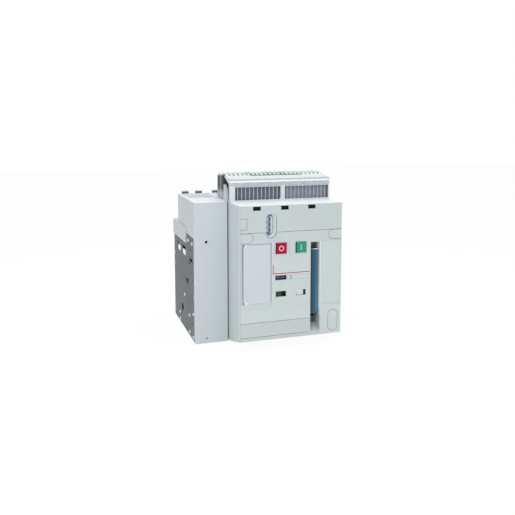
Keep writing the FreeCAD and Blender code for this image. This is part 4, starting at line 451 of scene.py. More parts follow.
class Build:
    """Collects the solids of one piece."""

    def __init__(self):
        self.mesh = bmesh.new()

    def skin(self, loops, closed=False):
        """Faces from one loop of points to the next, and back to the first if closed, or else over both ends."""
        loops = [[self.mesh.verts.new(point) for point in points] for points in loops]
        pairs = list(zip(loops, loops[1:]))
        if closed:
            pairs.append((loops[-1], loops[0]))
        else:
            self.mesh.faces.new(reversed(loops[0]))
            self.mesh.faces.new(loops[-1])
        for one, two in pairs:
            for k in range(len(one)):
                m = (k + 1) % len(one)
                self.mesh.faces.new((one[k], one[m], two[m], two[k]))
        return self

    def outline(self, points, along, start, end):
        """A prism over an outline given in the two other axes."""
        return self.skin([[corner(pair, along, level) for pair in points] for level in (start, end)])

    def block(self, x, y, z):
        return self.outline([(x[0], y[0]), (x[1], y[0]), (x[1], y[1]), (x[0], y[1])], "z", z[0], z[1])

    def hoop(self, outer, inner, along, start, end):
        """A flat ring between two outlines that have the same number of points."""
        edges = ((outer, start), (inner, start), (inner, end), (outer, end))
        return self.skin([[corner(pair, along, level) for pair in points] for points, level in edges], True)

    def rod(self, point, axis, radius, start, end, steps=16):
        return self.skin([ring(point, axis, [radius] * steps, level) for level in (start, end)])

    def washer(self, point, axis, inner, outer, start, end, steps=32):
        rows = ((inner, start), (inner, end), (outer, end), (outer, start))
        return self.skin([ring(point, axis, [radius] * steps, level) for radius, level in rows], True)

    def pan_head(self, point, axis, radius, height):
        """A domed screw head with a cross recess."""
        rows = [([radius * share] * 32, level) for share, level in ((1, 0), (1, 0.45), (0.86, 0.86), (0.68, 1))]
        rows += [(cross(radius * 0.56, 32), 1), (cross(radius * 0.50, 32), 0.4)]
        return self.skin([ring(point, axis, radii, height * level) for radii, level in rows])

    def tube(self, path, radius, sides=8):
        """A round wire along a path of points."""
        loops = []
        for i, point in enumerate(path):
            ahead = path[min(i + 1, len(path) - 1)] - path[max(i - 1, 0)]
            spots = ring(point, ahead, [radius] * sides)
            if loops:
                rolled = [spots[s:] + spots[:s] for s in range(sides)]
                spots = min(rolled, key=lambda new: sum((old - at).length for old, at in zip(loops[-1], new)))
            loops.append(spots)
        return self.skin(loops)

    def thing(self, name, material):
        """Turns the collected solids into one object."""
        bmesh.ops.recalc_face_normals(self.mesh, faces=self.mesh.faces)
        bmesh.ops.scale(self.mesh, verts=self.mesh.verts, vec=(MM, MM, MM))
        data = bpy.data.meshes.new(name)
        self.mesh.to_mesh(data)
        self.mesh.free()
        data.materials.append(material)
        return show(bpy.data.objects.new(name, data))

    def piece(self, name, slot, material, edge=0.2, body="frame"):
        """One piece of the visual model; it rides on its body, if it has one."""
        made = self.thing(name, material)
        for face in made.data.polygons:
            face.use_smooth = True
        round_edges(made, edge)
        if body:
            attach(made, body)
        return made


def round_edges(made, width):
    """Small rounded edges, if they have a width, and shading that keeps the flat faces flat."""
    if width:
        bevel = made.modifiers.new("edges", "BEVEL")
        bevel.width = width * MM
        bevel.segments = 2
        bevel.limit_method = "ANGLE"
        bevel.angle_limit = math.radians(40.0)
        bevel.use_clamp_overlap = True
    normals = made.modifiers.new("shading", "WEIGHTED_NORMAL")
    normals.weight = 80


def dress(nodes, material, edge):
    """Gives CAD nodes, named with spaces between, their finish and small rounded edges."""
    for node in nodes.split():
        made = NODES[node]
        made.data.materials.clear()
        made.data.materials.append(material)
        weld = made.modifiers.new("joined", "WELD")
        weld.merge_threshold = 0.004 * MM
        round_edges(made, edge)


def coil(middle, low, high, radius, count, wire):
    """Centre line of a compression spring standing on Z, with one closed turn at each end."""
    steps, closed = 20, wire * 1.05
    free = high - low - wire - 2 * closed
    path = []
    for i in range(count * steps + 1):
        t = i / steps
        rise = closed * (min(t, 1) + max(t - count + 1, 0)) + free * min(max((t - 1) / (count - 2), 0), 1)
        angle = 2 * math.pi * t
        x, y = middle[0] + radius * math.cos(angle), middle[1] + radius * math.sin(angle)
        path.append(Vector((x, y, low + wire / 2 + rise)))
    return path


# Operators, one for each piece or group of like pieces


class SwitchStep:
    """What all steps share; each has its own build method."""

    bl_options = {"REGISTER", "UNDO"}

    def execute(self, context):
        self.build(sizes(), colours())
        return {"FINISHED"}


class SWITCH_OT_front_cover(SwitchStep, bpy.types.Operator):
    """Front cover, face plate, blank door and the bay behind it"""

    bl_idname = "switch.front_cover"
    bl_label = "Front cover"

    def build(self, size, tint):
        dress("front_cover", moulded("cover satin", tint.cover, tone=self.painted_cover_light_and_shade), size.moulded_edge)
        dress("face_plate", moulded("face plate satin", shade(tint.cover, 1.06), 0.45, 0.012), 0.2)
        dress("blank_door", moulded("door satin", tint.door, 0.42, 0.014, self.pin_spots_and_highlights), size.small_edge)
        dress("release_bay", moulded("bay satin", shade(tint.case, 0.9), tone=self.lit_sill), size.small_edge)
        dress("door_hinge_pins", bright_metal("hinge pin steel", (0.20, 0.21, 0.22), 0.35, "z"), size.small_edge)
        dress("accessory_windows", matt("window black", paint(17, 20, 23)), size.small_edge)

    def painted_cover_light_and_shade(self, shader, body):
        """Painted light and shade on the cover: its fields, left side and top face painted lighter where light
        falls, painted shade in its groove lines, painted black, and in a thin line by the left edge, and a painted
        shadow left of the door.
        """
        low, high = reach("front_cover")
        door, door_top = reach("blank_door")
        cover = colours().cover
        across, height = shader.axis("x"), shader.axis("z")
        depth = shader.axis("y") - cover_face()
        front = shader.fall(depth, 0.4, 2.0)
        lowest, middle, highest = COVER_GROOVES
        # Painted light: the panel field and the left side face are painted lighter.
        panel = shader.ramp(across, 119.0, 120.0) * shader.fall(height, 258.0, 262.0)
        side = shader.fall(across, low.x + 0.3, low.x + 0.8)
        edge = shader.band(across, low.x + 2.2, low.x + 3.2, 0.4) * front
        # Painted shade: a thin line by the left edge, and a shadow left of the door.
        shadow = shader.ramp(across, door.x - 7.0, door.x - 0.4) * shader.fall(across, door.x, door.x + 0.6)
        shadow = shadow * shader.band(height, door.z - 1.0, door_top.z - 4.0, 2.0)
        # Painted shade: the floors of the groove lines are painted black and made metallic so they stay dark.
        inside = shader.band(across, low.x + 3.0, high.x - 3.0) * shader.band(height, 29.0, 351.0)
        line = shader.band(depth, 0.3, 0.78, 0.06) * inside
        shader.feed("Metallic", line)
        # Fields, side and top face are painted light; the edge line, the door's shadow and the groove lines are
        # painted shade.
        return shader.lay(
            body, (shader.band(height, middle, highest) * front * 0.5, shade(cover, 1.04)),
            (shader.band(height, lowest, middle) * front * 0.6, shade(cover, 1.12)),
            (panel * 0.5, shade(cover, 1.1)), (side * 0.5, shade(cover, 1.2)),
            (shader.ramp(height, high.z - 0.9, high.z - 0.5), paint(222, 228, 229)),
            (edge * 0.5, shade(cover, 0.62)), (shadow * 0.7, shade(cover, 0.5)), (line, shade(cover, 0.08)),
        )

    def pin_spots_and_highlights(self, shader, body):
        """A dark spot where each hinge pin shows, with a painted highlight beside it."""
        low, high = reach("blank_door")
        across, height = shader.axis("x") - low.x, shader.axis("z")
        for level in (low.z + 1.6, high.z - 1.6):
            # A dark spot for the pin, then a painted highlight beside it.
            for place, radius, shown in ((0.6, 1.5, paint(84, 92, 96)), (7.4, 1.7, paint(244, 247, 249))):
                out = far(across - place, height - level)
                body = shader.blend(shader.fall(out, radius, radius + 0.7), body, shown)
        return body

    def lit_sill(self, shader, body):
        """Painted light: the sill under the door glows, as if lit from below."""
        sill = reach("blank_door")[0].z
        # A painted glow on the sill.
        shader.glow(shader.fall("z", sill + 0.4, sill + 1.2), paint(176, 183, 186), 0.8)
        return body


class SWITCH_OT_pole_case(SwitchStep, bpy.types.Operator):
    """Pole case, neutral pole cover, arc chutes and phase barriers"""

    bl_idname = "switch.pole_case"
    bl_label = "Pole case"

    def build(self, size, tint):
        case = moulded("case satin", tint.case, 0.52, tone=self.painted_lit_top)
        # The pole cases carry painted shade in their recesses and painted light and shade on their lugs.
        recessed = moulded("case satin with dark recesses", tint.case, 0.52, tone=self.recesses)
        dress("rear_pole_case front_pole_case", recessed, size.moulded_edge)
        dress("neutral_pole_cover", case, size.moulded_edge)
        dress("handle_well", moulded("well satin", tint.case, tone=self.well), size.small_edge)
        dress("arc_chutes", moulded("chute satin", shade(tint.case, 1.05), 0.55), 0.3)
        dress("phase_barriers", case, 0.4)
        dress("splitter_plates", bright_metal("splitter steel", (0.35, 0.33, 0.31), 0.45, "z"), size.small_edge)

    def painted_lit_top(self, shader, body):
        """Painted light: the top faces are painted lighter, as if lit from overhead."""
        top = reach("front_cover")[1].z
        # Painted light on the top faces.
        return shader.blend(shader.band("z", top - 0.4, top + 0.4, 0.2), body, paint(221, 228, 231))

    def recesses(self, shader, body):
        """Painted shade: black in the recesses behind the side plates' windows; lugs painted dark at the foot as
        painted shade and pale at the top as painted light.
        """
        face, top = plate_face(), reach("front_cover")[1].z
        height, back = shader.axis("z"), shader.axis("y")
        # Painted shade: black in the recesses behind the side plates' windows.
        deep = shader.band(abs(shader.axis("x")), face - 8.4, face - 3.2, 0.1)
        deep = deep * shader.fall(height, 262.0, 262.5) * shader.fall(back, 73.0, 73.5)
        lugs = shader.ramp(back, 50.0, 51.0)
        shader.feed("Metallic", deep)
        # Painted light on the top faces and lug tops, painted shade at the lugs' foot and in the recesses.
        return shader.lay(
            self.painted_lit_top(shader, body),
            (shader.band(height, top + 0.6, top + 6.2, 0.5) * lugs * 0.9, paint(66, 73, 77)),
            (shader.ramp(height, top + 6.4, top + 7.2) * lugs, paint(236, 241, 242)), (deep, paint(8, 9, 10)),
        )

    def well(self, shader, body):
        """Painted shade in the trough, darker with its depth: black round the lever, dark olive-grey above it that
        lightens towards the top and right, darker on the upper part of its sloping floor and deep on its right wall,
        while its sloping floor runs out light; a painted glow lights the right wall beside the lever.
        """
        right = reach("handle_well")[1].x - 1.9
        height, across = shader.axis("z"), shader.axis("x")
        depth = shader.axis("y") - cover_face()
        wall = shader.ramp(across, right, right + 0.2)
        # Painted shade that deepens with depth, away from the right wall.
        deep = shader.ramp(depth, 2.0, 20.0) * (1 - wall)
        free = shader.ramp(height, 212.0, 226.0)
        rise = shader.ramp(height + (across - right) * 0.4, 228.0, 246.0)
        grey = shader.blend(rise, paint(66, 78, 74), paint(146, 154, 146))
        # Painted shade on the back: black round the lever, dark olive-grey above it.
        back = shader.ramp(height, 61.4, 61.8) * deep
        slope = shader.band(height, 50.0, 60.4, 0.4) * deep
        # Painted light: a glow on the right wall beside the lever.
        beside = wall * shader.ramp(height, 72.0, 100.0) * shader.fall(depth, 8.0, 26.0)
        shader.feed("Metallic", back * (1 - free) * 0.9)
        shader.glow(beside, paint(186, 194, 196), 0.45)
        # Painted shade on the back, on the sloping floor and deep on the right wall.
        return shader.lay(
            body, (back * 0.95, shader.blend(free, paint(12, 15, 17), grey)), (slope * 0.9, paint(76, 81, 84)),
            (wall * shader.ramp(depth, 4.0, 30.0) * 0.5, paint(120, 126, 130)),
        )


class SWITCH_OT_cover_screws(SwitchStep, bpy.types.Operator):
    """Sunk screws of the neutral pole cover and cross screws of the arc chutes"""

    bl_idname = "switch.cover_screws"
    bl_label = "Cover screws"

    def build(self, size, tint):
        x, y, heights = COVER_SCREWS
        forward, up = (0, -1, 0), (0, 0, 1)
        plug = Build().washer((x, -141.0, heights[1]), forward, 1.75, 3.38, -2.0, 0.0)
        plug.piece("lower_screw_plug", "bezel_white", moulded("plug satin", tint.case, 0.52), 0.1)
        sunk = Build()
        for z in heights:
            sunk.pan_head((x, y, z), forward, 3.2, 1.6).rod((x, y, z), forward, 1.9, -30.0, 0.0)
        sunk.piece("sunk_cover_screws", "zinc", bright_metal("screw dark", (0.05, 0.05, 0.055), 0.5), 0.1)
        heads = Build()
        out, y = CHUTE_SCREWS
        for pole in range(4):
            for side in (-1, 1):
                at = ((pole - 1.5) * POLE_PITCH + side * out, y, reach("cover_screws")[1].z - 2.4)
                heads.pan_head(at, up, 4.3, 2.4).rod(at, up, 2.5, -5.8, 0.0)
        steel = bright_metal("screw zinc", (0.60, 0.61, 0.62), 0.3, "z")
        made = heads.piece("chute_screws", "zinc", steel, 0.12)
        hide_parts("cover_screws")


class SWITCH_OT_side_plates(SwitchStep, bpy.types.Operator):
    """Zinc coated side plates, their pan head screws and what shows behind their windows"""

    bl_idname = "switch.side_plates"
    bl_label = "Side plates"

    def build(self, size, tint):
        sheet = zinc_sheet("plate zinc", tint.plate, self.bores)
        dress("side_plate_left side_plate_right", sheet, size.metal_edge)
        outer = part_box("side_plate_screws")[1][0] / MM - 2.6  # where the heads sit on the sheet
        face = plate_face()
        heads, strips, flaps = Build(), Build(), Build()
        for side in (-1, 1):
            for y, z in PLATE_SCREWS:
                heads.pan_head((side * outer, y, z), (side, 0, 0), size.screw_radius, 2.5)
            for y in ((38.2, 72.0), (-28.1, 7.0)):
                strips.block((side * (face - 1.0), side * (face - 0.1)), y, (202.2, 215.3))
            for y in ((77.0, 89.9), (12.0, 25.9)):
                flaps.block((side * (face - 1.8), side * (face - 0.2)), y, (200.4, 224.6))
        zinc = bright_metal("plate screw zinc", (0.68, 0.70, 0.72), 0.34, metallic=0.55)
        screws = heads.piece("plate_screws", "zinc", zinc, 0.12)
        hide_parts("side_plate_screws")
        white = moulded("strip white", paint(250, 251, 252), 0.4, 0.01)
        strips.piece("plate_window_strips", "bezel_white", white, 0.1)
        flaps.piece("plate_window_flaps", "zinc", sheet, 0.1)

    def bores(self, shader, body):
        """Painted shade: the walls of the round and square holes through the sheet, which get no light, are painted
        black.
        """
        face = plate_face()
        within = shader.band("y", -126.0, 127.0) * shader.band("z", 3.5, 236.0)
        wall = shader.band(abs(shader.axis("x")), face - 2.85, face - 0.35, 0.1) * within
        shader.feed("Metallic", wall * 0.55 + 0.45)
        # Painted shade on the hole walls.
        return shader.blend(wall, body, paint(9, 10, 11))


class SWITCH_OT_buttons(SwitchStep, bpy.types.Operator):
    """Open and close buttons with their ring and bar marks"""

    bl_idname = "switch.buttons"
    bl_label = "Buttons"

    def build(self, size, tint):
        for node, name, base in (("open_button", "red", tint.red), ("close_button", "green", tint.green)):
            dress(node, glossy("button " + name, base, self.dark_side(node), 0.15), 0.4)
        half, proud, sunk = size.mark_width / 2, size.print_height, 0.2
        low, high = reach("open_button")
        face, centre = low.y, (low + high) / 2
        inner, outer = size.mark_radius - half, size.mark_radius + half
        circle = Build().washer((centre.x, face, centre.z), (0, -1, 0), inner, outer, -sunk, proud, 48)
        circle.piece("open_mark", "bezel_white", inked("mark rose", paint(252, 176, 196)), 0, "open_button")
        low, high = reach("close_button")
        centre = (low + high) / 2
        bar = Build().block((centre.x - half * 1.4, centre.x + half * 1.4), (face - proud, face + sunk),
                            (centre.z - 7.0, centre.z + 7.0))
        bar.piece("close_mark", "bezel_white", inked("mark mint", paint(124, 204, 176)), 0.03, "close_button")

    def dark_side(self, node):
        """Tone of a button whose left side lies in shadow."""
        left = reach(node)[0].x

        def tone(shader, body):
            near = shader.fall("x", left + 1.6, left + 2.8)
            return shader.blend(near * 0.85, body, (0.01, 0.01, 0.012))

        return tone


class SWITCH_OT_face_prints(SwitchStep, bpy.types.Operator):
    """Red rule, grey field between the buttons and the thin frame beside the ready window"""

    bl_idname = "switch.face_prints"
    bl_label = "Face prints"

    def build(self, size, tint):
        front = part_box("face_plate")[0][1] / MM + 0.7  # the printed field lies behind the plate's rim
        span = (front - size.print_height, front + 0.1)
        left, low, width = -5.2, 186.7, size.rule_width
        rule = Build().block((left, 89.2), span, (low, low + width))
        rule.block((left, left + width), span, (low + width, 209.6))
        rule.piece("red_rule", "button_red", inked("rule red", paint(176, 22, 40)), 0)
        field = Build().block((31.6, 40.0), span, (236.2, 261.3))
        field.piece("grey_field", "comb_grey", inked("field grey", paint(188, 193, 196)), 0)
        lines = Build()
        x0, x1, z0, z1, line = 32.6, 88.0, 171.9, 182.6, 0.35
        for z in (z0, z1 - line):
            lines.block((x0, x1), span, (z, z + line))
        for x in (x0, x1 - line):
            lines.block((x, x + line), span, (z0 + line, z1 - line))
        for x, z, width, height in ((40.3, 173.0, 1.9, 8.4), (39.3, 173.0, 1.3, 0.9), (39.3, 180.5, 1.3, 0.9)):
            lines.block((x, x + width), span, (z, z + height))
        lines.piece("ready_frame_lines", "comb_grey", inked("line grey", paint(96, 102, 110)), 0)


class SWITCH_OT_flags(SwitchStep, bpy.types.Operator):
    """Contact, spring and ready flags behind their panes"""

    bl_idname = "switch.flags"
    bl_label = "Flags"

    def build(self, size, tint):
        green = paint(26, 88, 34)

        def green_and_black(shader, body):
            split = shader.ramp("x", 16.0, 21.0)
            shader.feed("Metallic", split)
            return shader.blend(split, green, paint(6, 12, 9))

        def white_and_slot(shader, body):
            slot = shader.ramp("x", 74.3, 74.5)
            line = shader.band("z", 136.6, 137.8, 0.1) * shader.band("x", 56.0, 73.0)
            shader.feed("Metallic", slot)
            return shader.lay(body, (line * 0.85, paint(60, 64, 70)), (slot, paint(5, 6, 7)))

        def blue_and_dot(shader, body):
            x, z = shader.axis("x") - 15.6, shader.axis("z") - 177.2
            bar = shader.band(abs(x), 3.8, 8.6, 0.3) * shader.band(z, -0.9, 0.9, 0.3)
            spot = shader.fall(far(x, z), 2.5, 2.9)
            return shader.lay(body, (bar * 0.5, paint(190, 202, 218)), (spot, paint(170, 30, 56)))

        dress("position_flag", matt("flag green and black", green, green_and_black), 0.1)
        dress("spring_flag", matt("flag white", paint(252, 253, 253), white_and_slot), 0.1)
        dress("ready_flag", matt("flag blue", paint(17, 43, 86), blue_and_dot), 0.1)
        dress("flag_windows", pane("window clear", (0.16, 0.18, 0.19)), 0.1)


class SWITCH_OT_padlock(SwitchStep, bpy.types.Operator):
    """Oval collar and the sliding padlock tab"""

    bl_idname = "switch.padlock"
    bl_label = "Padlock slide"

    def build(self, size, tint):
        low, high = reach("padlock_bezel")
        centre, radius, front = (low + high) / 2, (high.x - low.x) / 2, cover_face()
        straight = (high.z - low.z) / 2 - radius
        dress("padlock_bezel", glossy("collar white", paint(208, 215, 221), self.pocket), size.small_edge)
        # The tab glows faintly: painted light on it.
        tab = bright_metal("tab zinc", (0.47, 0.55, 0.58), 0.34, "z", 0.3,
                           emission_color=(0.34, 0.41, 0.44), emission_strength=0.2)
        dress("padlock_slide", tab, size.small_edge)

        def oval(r, off=0.0):
            points = []
            for angle in turns(48, 0.5):
                up = math.copysign(straight, math.sin(angle)) + r * math.sin(angle)
                points.append((centre.x + off + r * math.cos(angle), centre.z - off + up))
            return points

        # A painted shadow round the collar: a thin dark ring on the cover, set off to the right and down.
        shadow_ring = Build().hoop(oval(radius + 0.9, 0.7), oval(radius - 0.4), "y", front - 0.05, front + 0.3)
        shadow_ring.piece("collar_shadow_ring", "comb_grey", inked("gap shade", paint(76, 81, 88)), 0)
        # Dark discs in the tab's holes, as painted shade.
        holes = Build()
        for rise in (-13.0, 0.0, 13.0):
            holes.rod((centre.x + 3.6, front + 11.5, centre.z + rise), (1, 0, 0), 4.15, -1.2, 1.2, 24)
        holes.piece("tab_hole_shades", "comb_grey", matt("hole shade", paint(30, 38, 42)), 0, "padlock_slide")

    def pocket(self, shader, body):
        """Painted light and shade in the pocket: a painted glow keeps its inside light on the right side, painted
        shade makes it bluer and darker on its left side and towards its floor, and the left of the rim is mottled.
        """
        low, high = reach("padlock_bezel")
        centre, radius = (low + high) / 2, (high.x - low.x) / 2
        across, depth = shader.axis("x") - centre.x, shader.axis("y") - low.y
        above = (abs(shader.axis("z") - centre.z) - ((high.z - low.z) / 2 - radius)).most(0.0)
        inside = shader.ramp(depth, 2.0, 4.0)
        # Painted shade: bluer and darker towards the floor and on the left side.
        blue = shader.ramp(depth, 12.0, 24.0).most(shader.fall(across, -3.2, -2.4))
        rim = shader.fall(far(across, above), radius - 1.9, radius - 1.3)
        patches = shader.ramp(shader.noise(5.0, 1.0, 0.4), 0.42, 0.6)
        mottled = shader.blend(patches, paint(104, 124, 132), paint(158, 174, 182))
        # Painted light: the inside glows, light on the right and bluer under the painted shade.
        shader.glow(inside, shader.blend(blue, paint(228, 234, 238), paint(104, 124, 134)), 0.35)
        return shader.lay(
            body, (rim * shader.fall(across, -5.0, -3.0), mottled),
            (inside, shader.blend(blue, paint(214, 221, 227), mottled)),
        )


class SWITCH_OT_charging_handle(SwitchStep, bpy.types.Operator):
    """Enamelled charging handle on its steel shaft"""

    bl_idname = "switch.charging_handle"
    bl_label = "Charging handle"

    def build(self, size, tint):
        dress("charging_handle", enamel("handle enamel", tint.handle), 0.5)
        dress("handle_shaft", bright_metal("handle shaft steel", (0.45, 0.46, 0.47)), size.metal_edge)


class SWITCH_OT_terminal_housing(SwitchStep, bpy.types.Operator):
    """Terminal housing, its comb of ribs and the dark back behind them"""

    bl_idname = "switch.terminal_housing"
    bl_label = "Terminal housing"

    def build(self, size, tint):
        dress("terminal_housing", moulded("housing satin with bands", tint.housing, tone=self.bands), 0.35)
        dress("terminal_rail", moulded("housing satin", tint.housing), 0.3)
        dress("comb_back", moulded("comb back dark", paint(92, 95, 106), 0.6), 0.3)
        dress("comb_ribs", moulded("comb satin", tint.comb), 0.4)
        dress("terminal_carriers", moulded("carrier dark", paint(66, 68, 72), 0.55, tone=self.pale_top), 0.4)
        dress("marker_strips", matt("marker green", paint(104, 138, 112)), 0.1)
        self.webs(reach("terminal_housing")[0].y + POST_FOOT)

    def bands(self, shader, body):
        """Grey lintel over the windows, a painted highlight on its pale lip and painted shade on the bevel above it;
        painted shade on the windows' inner walls and on the roof between and behind the terminal noses.
        """
        low, high = reach("terminal_housing")
        height, depth = shader.axis("z"), shader.axis("y") - low.y
        front = shader.fall(depth, 5.6, 6.2)
        grey = shader.blend(shader.ramp(shader.noise(2.4, 2.0, 0.7), 0.38, 0.62), paint(158, 162, 171),
                            paint(196, 200, 206))
        # Painted shade on the windows' inner walls.
        inside = shader.band("x", low.x + 0.8, high.x - 0.8, 0.1) * shader.ramp(depth, 5.8, 6.4)
        # Painted shade on the roof between and behind the terminal noses.
        shade_between_noses = shader.ramp("y", -111.2, -110.6) * shader.ramp(height, 412.0, 413.0)
        # Painted highlight on the lip, painted shade on the bevel, the inner walls and the roof behind the noses.
        return shader.lay(
            body, (shader.band(height, 393.2, 401.4, 0.5) * front, grey),
            (shader.band(height, 402.0, 404.4, 0.3) * front, paint(244, 248, 250)),
            (shader.band(height, 405.0, 409.8, 0.4) * front, paint(188, 195, 195)),
            (inside * shader.fall(height, 393.0, 393.4), paint(76, 80, 92)), (shade_between_noses, paint(122, 128, 132)),
        )

    def pale_top(self, shader, body):
        return shader.blend(shader.ramp("z", 368.0, 382.0), paint(176, 180, 184), body)

    def pale_right(self, shader, body):
        return shader.blend(shader.ramp("x", 44.0, 50.0), body, paint(158, 160, 172))

    def webs(self, face):
        """Webs that close the comb between its ribs, and the strips that hang in the tops of the windows."""
        pitch, half, left, right = 10.3, 1.35, -85.9, 171.9
        ribs = [first + i * pitch for first in (-68.25, 60.75) for i in range(11)]
        webs = Build()
        for span in zip([left] + [x + half for x in ribs], [x - half for x in ribs] + [right]):
            webs.block(span, (face + 10.0, face + 11.5), (355.0, 396.0))
        satin = moulded("web satin", paint(116, 119, 130), 0.6, tone=self.pale_right)
        webs.piece("comb_webs", "comb_grey", satin, 0)
        strips = Build()
        for span in ((-75.5, 42.0), (53.6, 170.9)):
            strips.block(span, (face + 0.4, face + 2.2), (389.2, 393.3))
        strips.piece("window_strips", "bezel_white", moulded("strip satin", paint(178, 182, 190)), 0.2)


class SWITCH_OT_wire_terminals(SwitchStep, bpy.types.Operator):
    """Rows of plug-in wire terminals, each with a clamp screw"""

    bl_idname = "switch.wire_terminals"
    bl_label = "Wire terminals"

    def build(self, size, tint):
        teeth = moulded("terminal satin", shade(tint.housing, 0.98), 0.45, tone=self.clusters)
        dress("wire_terminals", teeth, 0.25)
        low, high = reach("wire_terminals")
        ridge = reach("terminal_housing")[1].z
        side = [(-110.0, ridge - 2.9), (-87.1, ridge - 0.2), (-87.1, ridge + 2.8), (-107.0, ridge + 0.4)]
        noses = Build()
        count, half = 23, 3.4
        for i in range(count):
            x = low.x + half + (high.x - low.x - 2 * half) * i / (count - 1)
            noses.outline(side, "x", x - half, x + half)
        noses.piece("terminal_noses", "bezel_white", teeth, 0.25)

    def clusters(self, shader, body):
        """Painted shade in the wire openings, which lie in three groups along the rows."""
        across = shader.axis("x")
        dark = shader.band(across, -32.0, -17.0) + shader.band(across, 16.0, 41.0) + shader.band(across, 50.0, 74.0)
        openings = shader.ramp(shader.noise(3.2, 1.0, 0.4), 0.45, 0.6)
        # Painted shade in the openings.
        return shader.blend(dark * openings * 0.8, body, paint(120, 124, 130))


class SWITCH_OT_power_terminals(SwitchStep, bpy.types.Operator):
    """Tinned copper terminals at the back"""

    bl_idname = "switch.power_terminals"
    bl_label = "Power terminals"

    def build(self, size, tint):
        dress("upper_terminals lower_terminals", plated_copper("terminal tin", bolted=True), size.metal_edge)


class SWITCH_OT_contacts(SwitchStep, bpy.types.Operator):
    """Contact fingers, cages, tips, pins and flexible shunts"""

    bl_idname = "switch.contacts"
    bl_label = "Contacts"

    def build(self, size, tint):
        dress("contact_fingers", plated_copper("finger tin"), size.small_edge)
        self.shunts(bright_metal("braid copper", tint.copper, 0.45))
        dress("fixed_contact_tips", bright_metal("tip silver", (0.82, 0.81, 0.78)), size.small_edge)
        dress("contact_carriers", moulded("cage dark", tint.dark, 0.55), size.metal_edge)
        dress("pivot_pins", bright_metal("pin steel", (0.52, 0.53, 0.55), 0.25), size.small_edge)
        dress("finger_springs", bright_metal("leaf spring steel", (0.38, 0.39, 0.42), along="z"), 0.05)

    def shunts(self, copper):
        """Copper straps that stay put: a copy of the flexible shunts in their own finish, in place of the CAD node.
        """
        node = NODES["flexible_shunts"]
        made = show(bpy.data.objects.new("shunt_straps", node.data.copy()))
        made.matrix_world = node.matrix_world
        made.data.materials.clear()
        made.data.materials.append(copper)
        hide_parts("flexible_shunts")
        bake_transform(made)


class SWITCH_OT_springs(SwitchStep, bpy.types.Operator):
    """Wound springs of the drive and of the buttons"""

    bl_idname = "switch.springs"
    bl_label = "Springs"

    def build(self, size, tint):
        steel = bright_metal("spring steel", (0.33, 0.34, 0.36), 0.32, "z")
        low, high = reach("closing_springs")
        closing = Build()
        x, places = CLOSING_SPRINGS
        for y in places:
            closing.tube(coil((x, y), low.z, high.z, 7.6, 11, 3.2), 1.6, 10)
        made = closing.piece("closing_spring_coils", "spring_steel", steel, 0)
        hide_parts("closing_springs")
        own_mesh(made)
        low, high = reach("opening_spring")
        opening = Build().tube(coil(OPENING_SPRING, low.z, high.z, 6.5, 9, 2.0), 1.0)
        made = opening.piece("opening_spring_coil", "spring_steel", steel, 0, None)
        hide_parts("opening_spring")
        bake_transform(made)
        low, high = reach("button_springs")
        wire, outer, level = 1.6, (high.z - low.z) / 2, (high.z + low.z) / 2
        upright = coil((0, 0), low.y, high.y, outer - wire / 2, 6, wire)
        for node in ("open_button", "close_button"):
            x = (reach(node)[0].x + reach(node)[1].x) / 2
            path = [Vector((x + p.x, p.z, level + p.y)) for p in upright]
            made = Build().tube(path, wire / 2).piece(node + "_coil", "spring_steel", steel, 0)
            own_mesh(made)
        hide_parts("button_springs")


class SWITCH_OT_drive(SwitchStep, bpy.types.Operator):
    """Drive plates, shafts, cam, latches and links behind the cover"""

    bl_idname = "switch.drive"
    bl_label = "Drive"

    def build(self, size, tint):
        edge = size.metal_edge
        sheet = zinc_sheet("drive plate zinc", shade(tint.plate, 1.1))
        dress("drive_plate_left drive_plate_right spring_bridge button_guide", sheet, edge)
        dark = bright_metal("hardened steel", (0.30, 0.31, 0.33), 0.34)
        dress("camshaft ratchet_wheel cam_roller charging_pawl open_latch close_latch", dark, edge)
        dress("main_shaft crosshead drive_tie_rods", bright_metal("shaft steel", (0.50, 0.51, 0.53)), edge)
        dress("drive_links auxiliary_switch", moulded("link dark", tint.dark), edge)


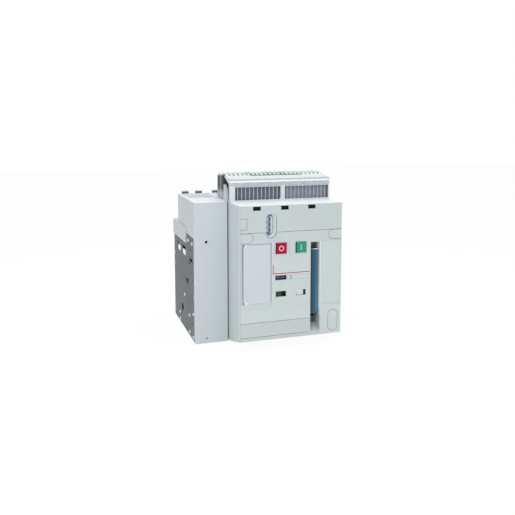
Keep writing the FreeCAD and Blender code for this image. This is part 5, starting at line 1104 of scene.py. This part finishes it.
class SWITCH_OT_stage(SwitchStep, bpy.types.Operator):
    """Pale floor, soft studio light and the camera"""

    bl_idname = "switch.stage"
    bl_label = "Stage"

    def build(self, size, tint):
        bpy.context.scene.view_settings.view_transform = "Standard"
        self.floor()
        self.world()
        self.lamp("overhead", (0.1, -0.2, 2.1), (0.0, 0.0, 0.2), 2.4, 30.0)
        self.lamp("front", (-1.2, -2.4, 1.3), (0.0, -0.1, 0.2), 1.8, 22.0)
        self.camera()

    def floor(self):
        """Floor that looks white but keeps the object's shadow."""
        shader = Shader("floor pale", roughness=0.9)
        shader.feed("Base Color", shader.blend(shader.noise(400.0), (0.95, 0.95, 0.95), (0.98, 0.98, 0.98)))
        glow = shader.add("ShaderNodeEmission", {"Color": (1, 1, 1), "Strength": 1.0})
        rays = ("Is Camera Ray", "Is Glossy Ray", "Is Transmission Ray")
        seen, glossy_ray, through = (shader.add("ShaderNodeLightPath", output=ray) for ray in rays)
        share = shader.ramp(seen + glossy_ray + through, 0.0, 1.0) * 0.95
        surface = Signal(shader, shader.surface.outputs[0])
        shader.plug(shader.output, shader.add("ShaderNodeMixShader", {0: share, 1: surface, 2: glow}))
        floor = Build().block((-6000, 6000), (-6000, 6000), (-20.0, -0.2)).thing("floor", shader.material)

    def world(self):
        """Soft bluish light all round, behind a white background."""
        world = bpy.data.worlds.new("studio")
        world.use_nodes = True
        bpy.context.scene.world = world
        tree = Tree(world.node_tree)
        soft = tree.add("ShaderNodeBackground", {"Color": (0.95, 0.975, 1.0), "Strength": 0.62})
        plain = tree.add("ShaderNodeBackground", {"Color": (1, 1, 1), "Strength": 1.0})
        seen = tree.add("ShaderNodeLightPath", output="Is Camera Ray")
        mixed = tree.add("ShaderNodeMixShader", {0: seen, 1: soft, 2: plain})
        tree.add("ShaderNodeOutputWorld", {"Surface": mixed})

    def lamp(self, name, place, target, width, power):
        light = bpy.data.lights.new(name, "AREA")
        light.shape = "SQUARE"
        light.size = width
        light.energy = power
        lamp = show(bpy.data.objects.new(name, light))
        lamp.location = place
        lamp.rotation_euler = (Vector(target) - Vector(place)).to_track_quat("-Z", "Y").to_euler()

    def camera(self):
        """Camera at the angle from which the photo was taken."""
        data = bpy.data.cameras.new("camera")
        data.sensor_width = 36.0
        data.lens = 43.84
        data.shift_y = -0.13
        data.clip_start = 0.05
        camera = show(bpy.data.objects.new("camera", data))
        camera.location = (-0.4887, -1.6216, 0.5407)
        camera.rotation_euler = (math.pi / 2 - 0.1037, 0.0, -0.3107)
        bpy.context.scene.camera = camera


OPERATORS = tuple(SwitchStep.__subclasses__())  # in the order in which they are written above


class SWITCH_PT_panel(bpy.types.Panel):
    """Lists the steps that finish the switch disconnector"""

    bl_idname = "SWITCH_PT_panel"
    bl_label = "Switch disconnector"
    bl_space_type = "VIEW_3D"
    bl_region_type = "UI"
    bl_category = "Switch"

    def draw(self, context):
        for step in OPERATORS:
            self.layout.operator(step.bl_idname)
        for group in (sizes(), colours()):
            for name in group.__annotations__:
                self.layout.prop(group, name)


CLASSES = (SwitchSizes, SwitchColours, *OPERATORS, SWITCH_PT_panel)


def register():
    for item in CLASSES:
        bpy.utils.register_class(item)
    bpy.types.Scene.switch_sizes = PointerProperty(type=SwitchSizes)
    bpy.types.Scene.switch_colours = PointerProperty(type=SwitchColours)


def unregister():
    del bpy.types.Scene.switch_colours
    del bpy.types.Scene.switch_sizes
    for item in reversed(CLASSES):
        bpy.utils.unregister_class(item)


def main():
    register()
    for step in OPERATORS:
        group, name = step.bl_idname.split(".")
        getattr(getattr(bpy.ops, group), name)()


if __name__ == "__main__":
    main()
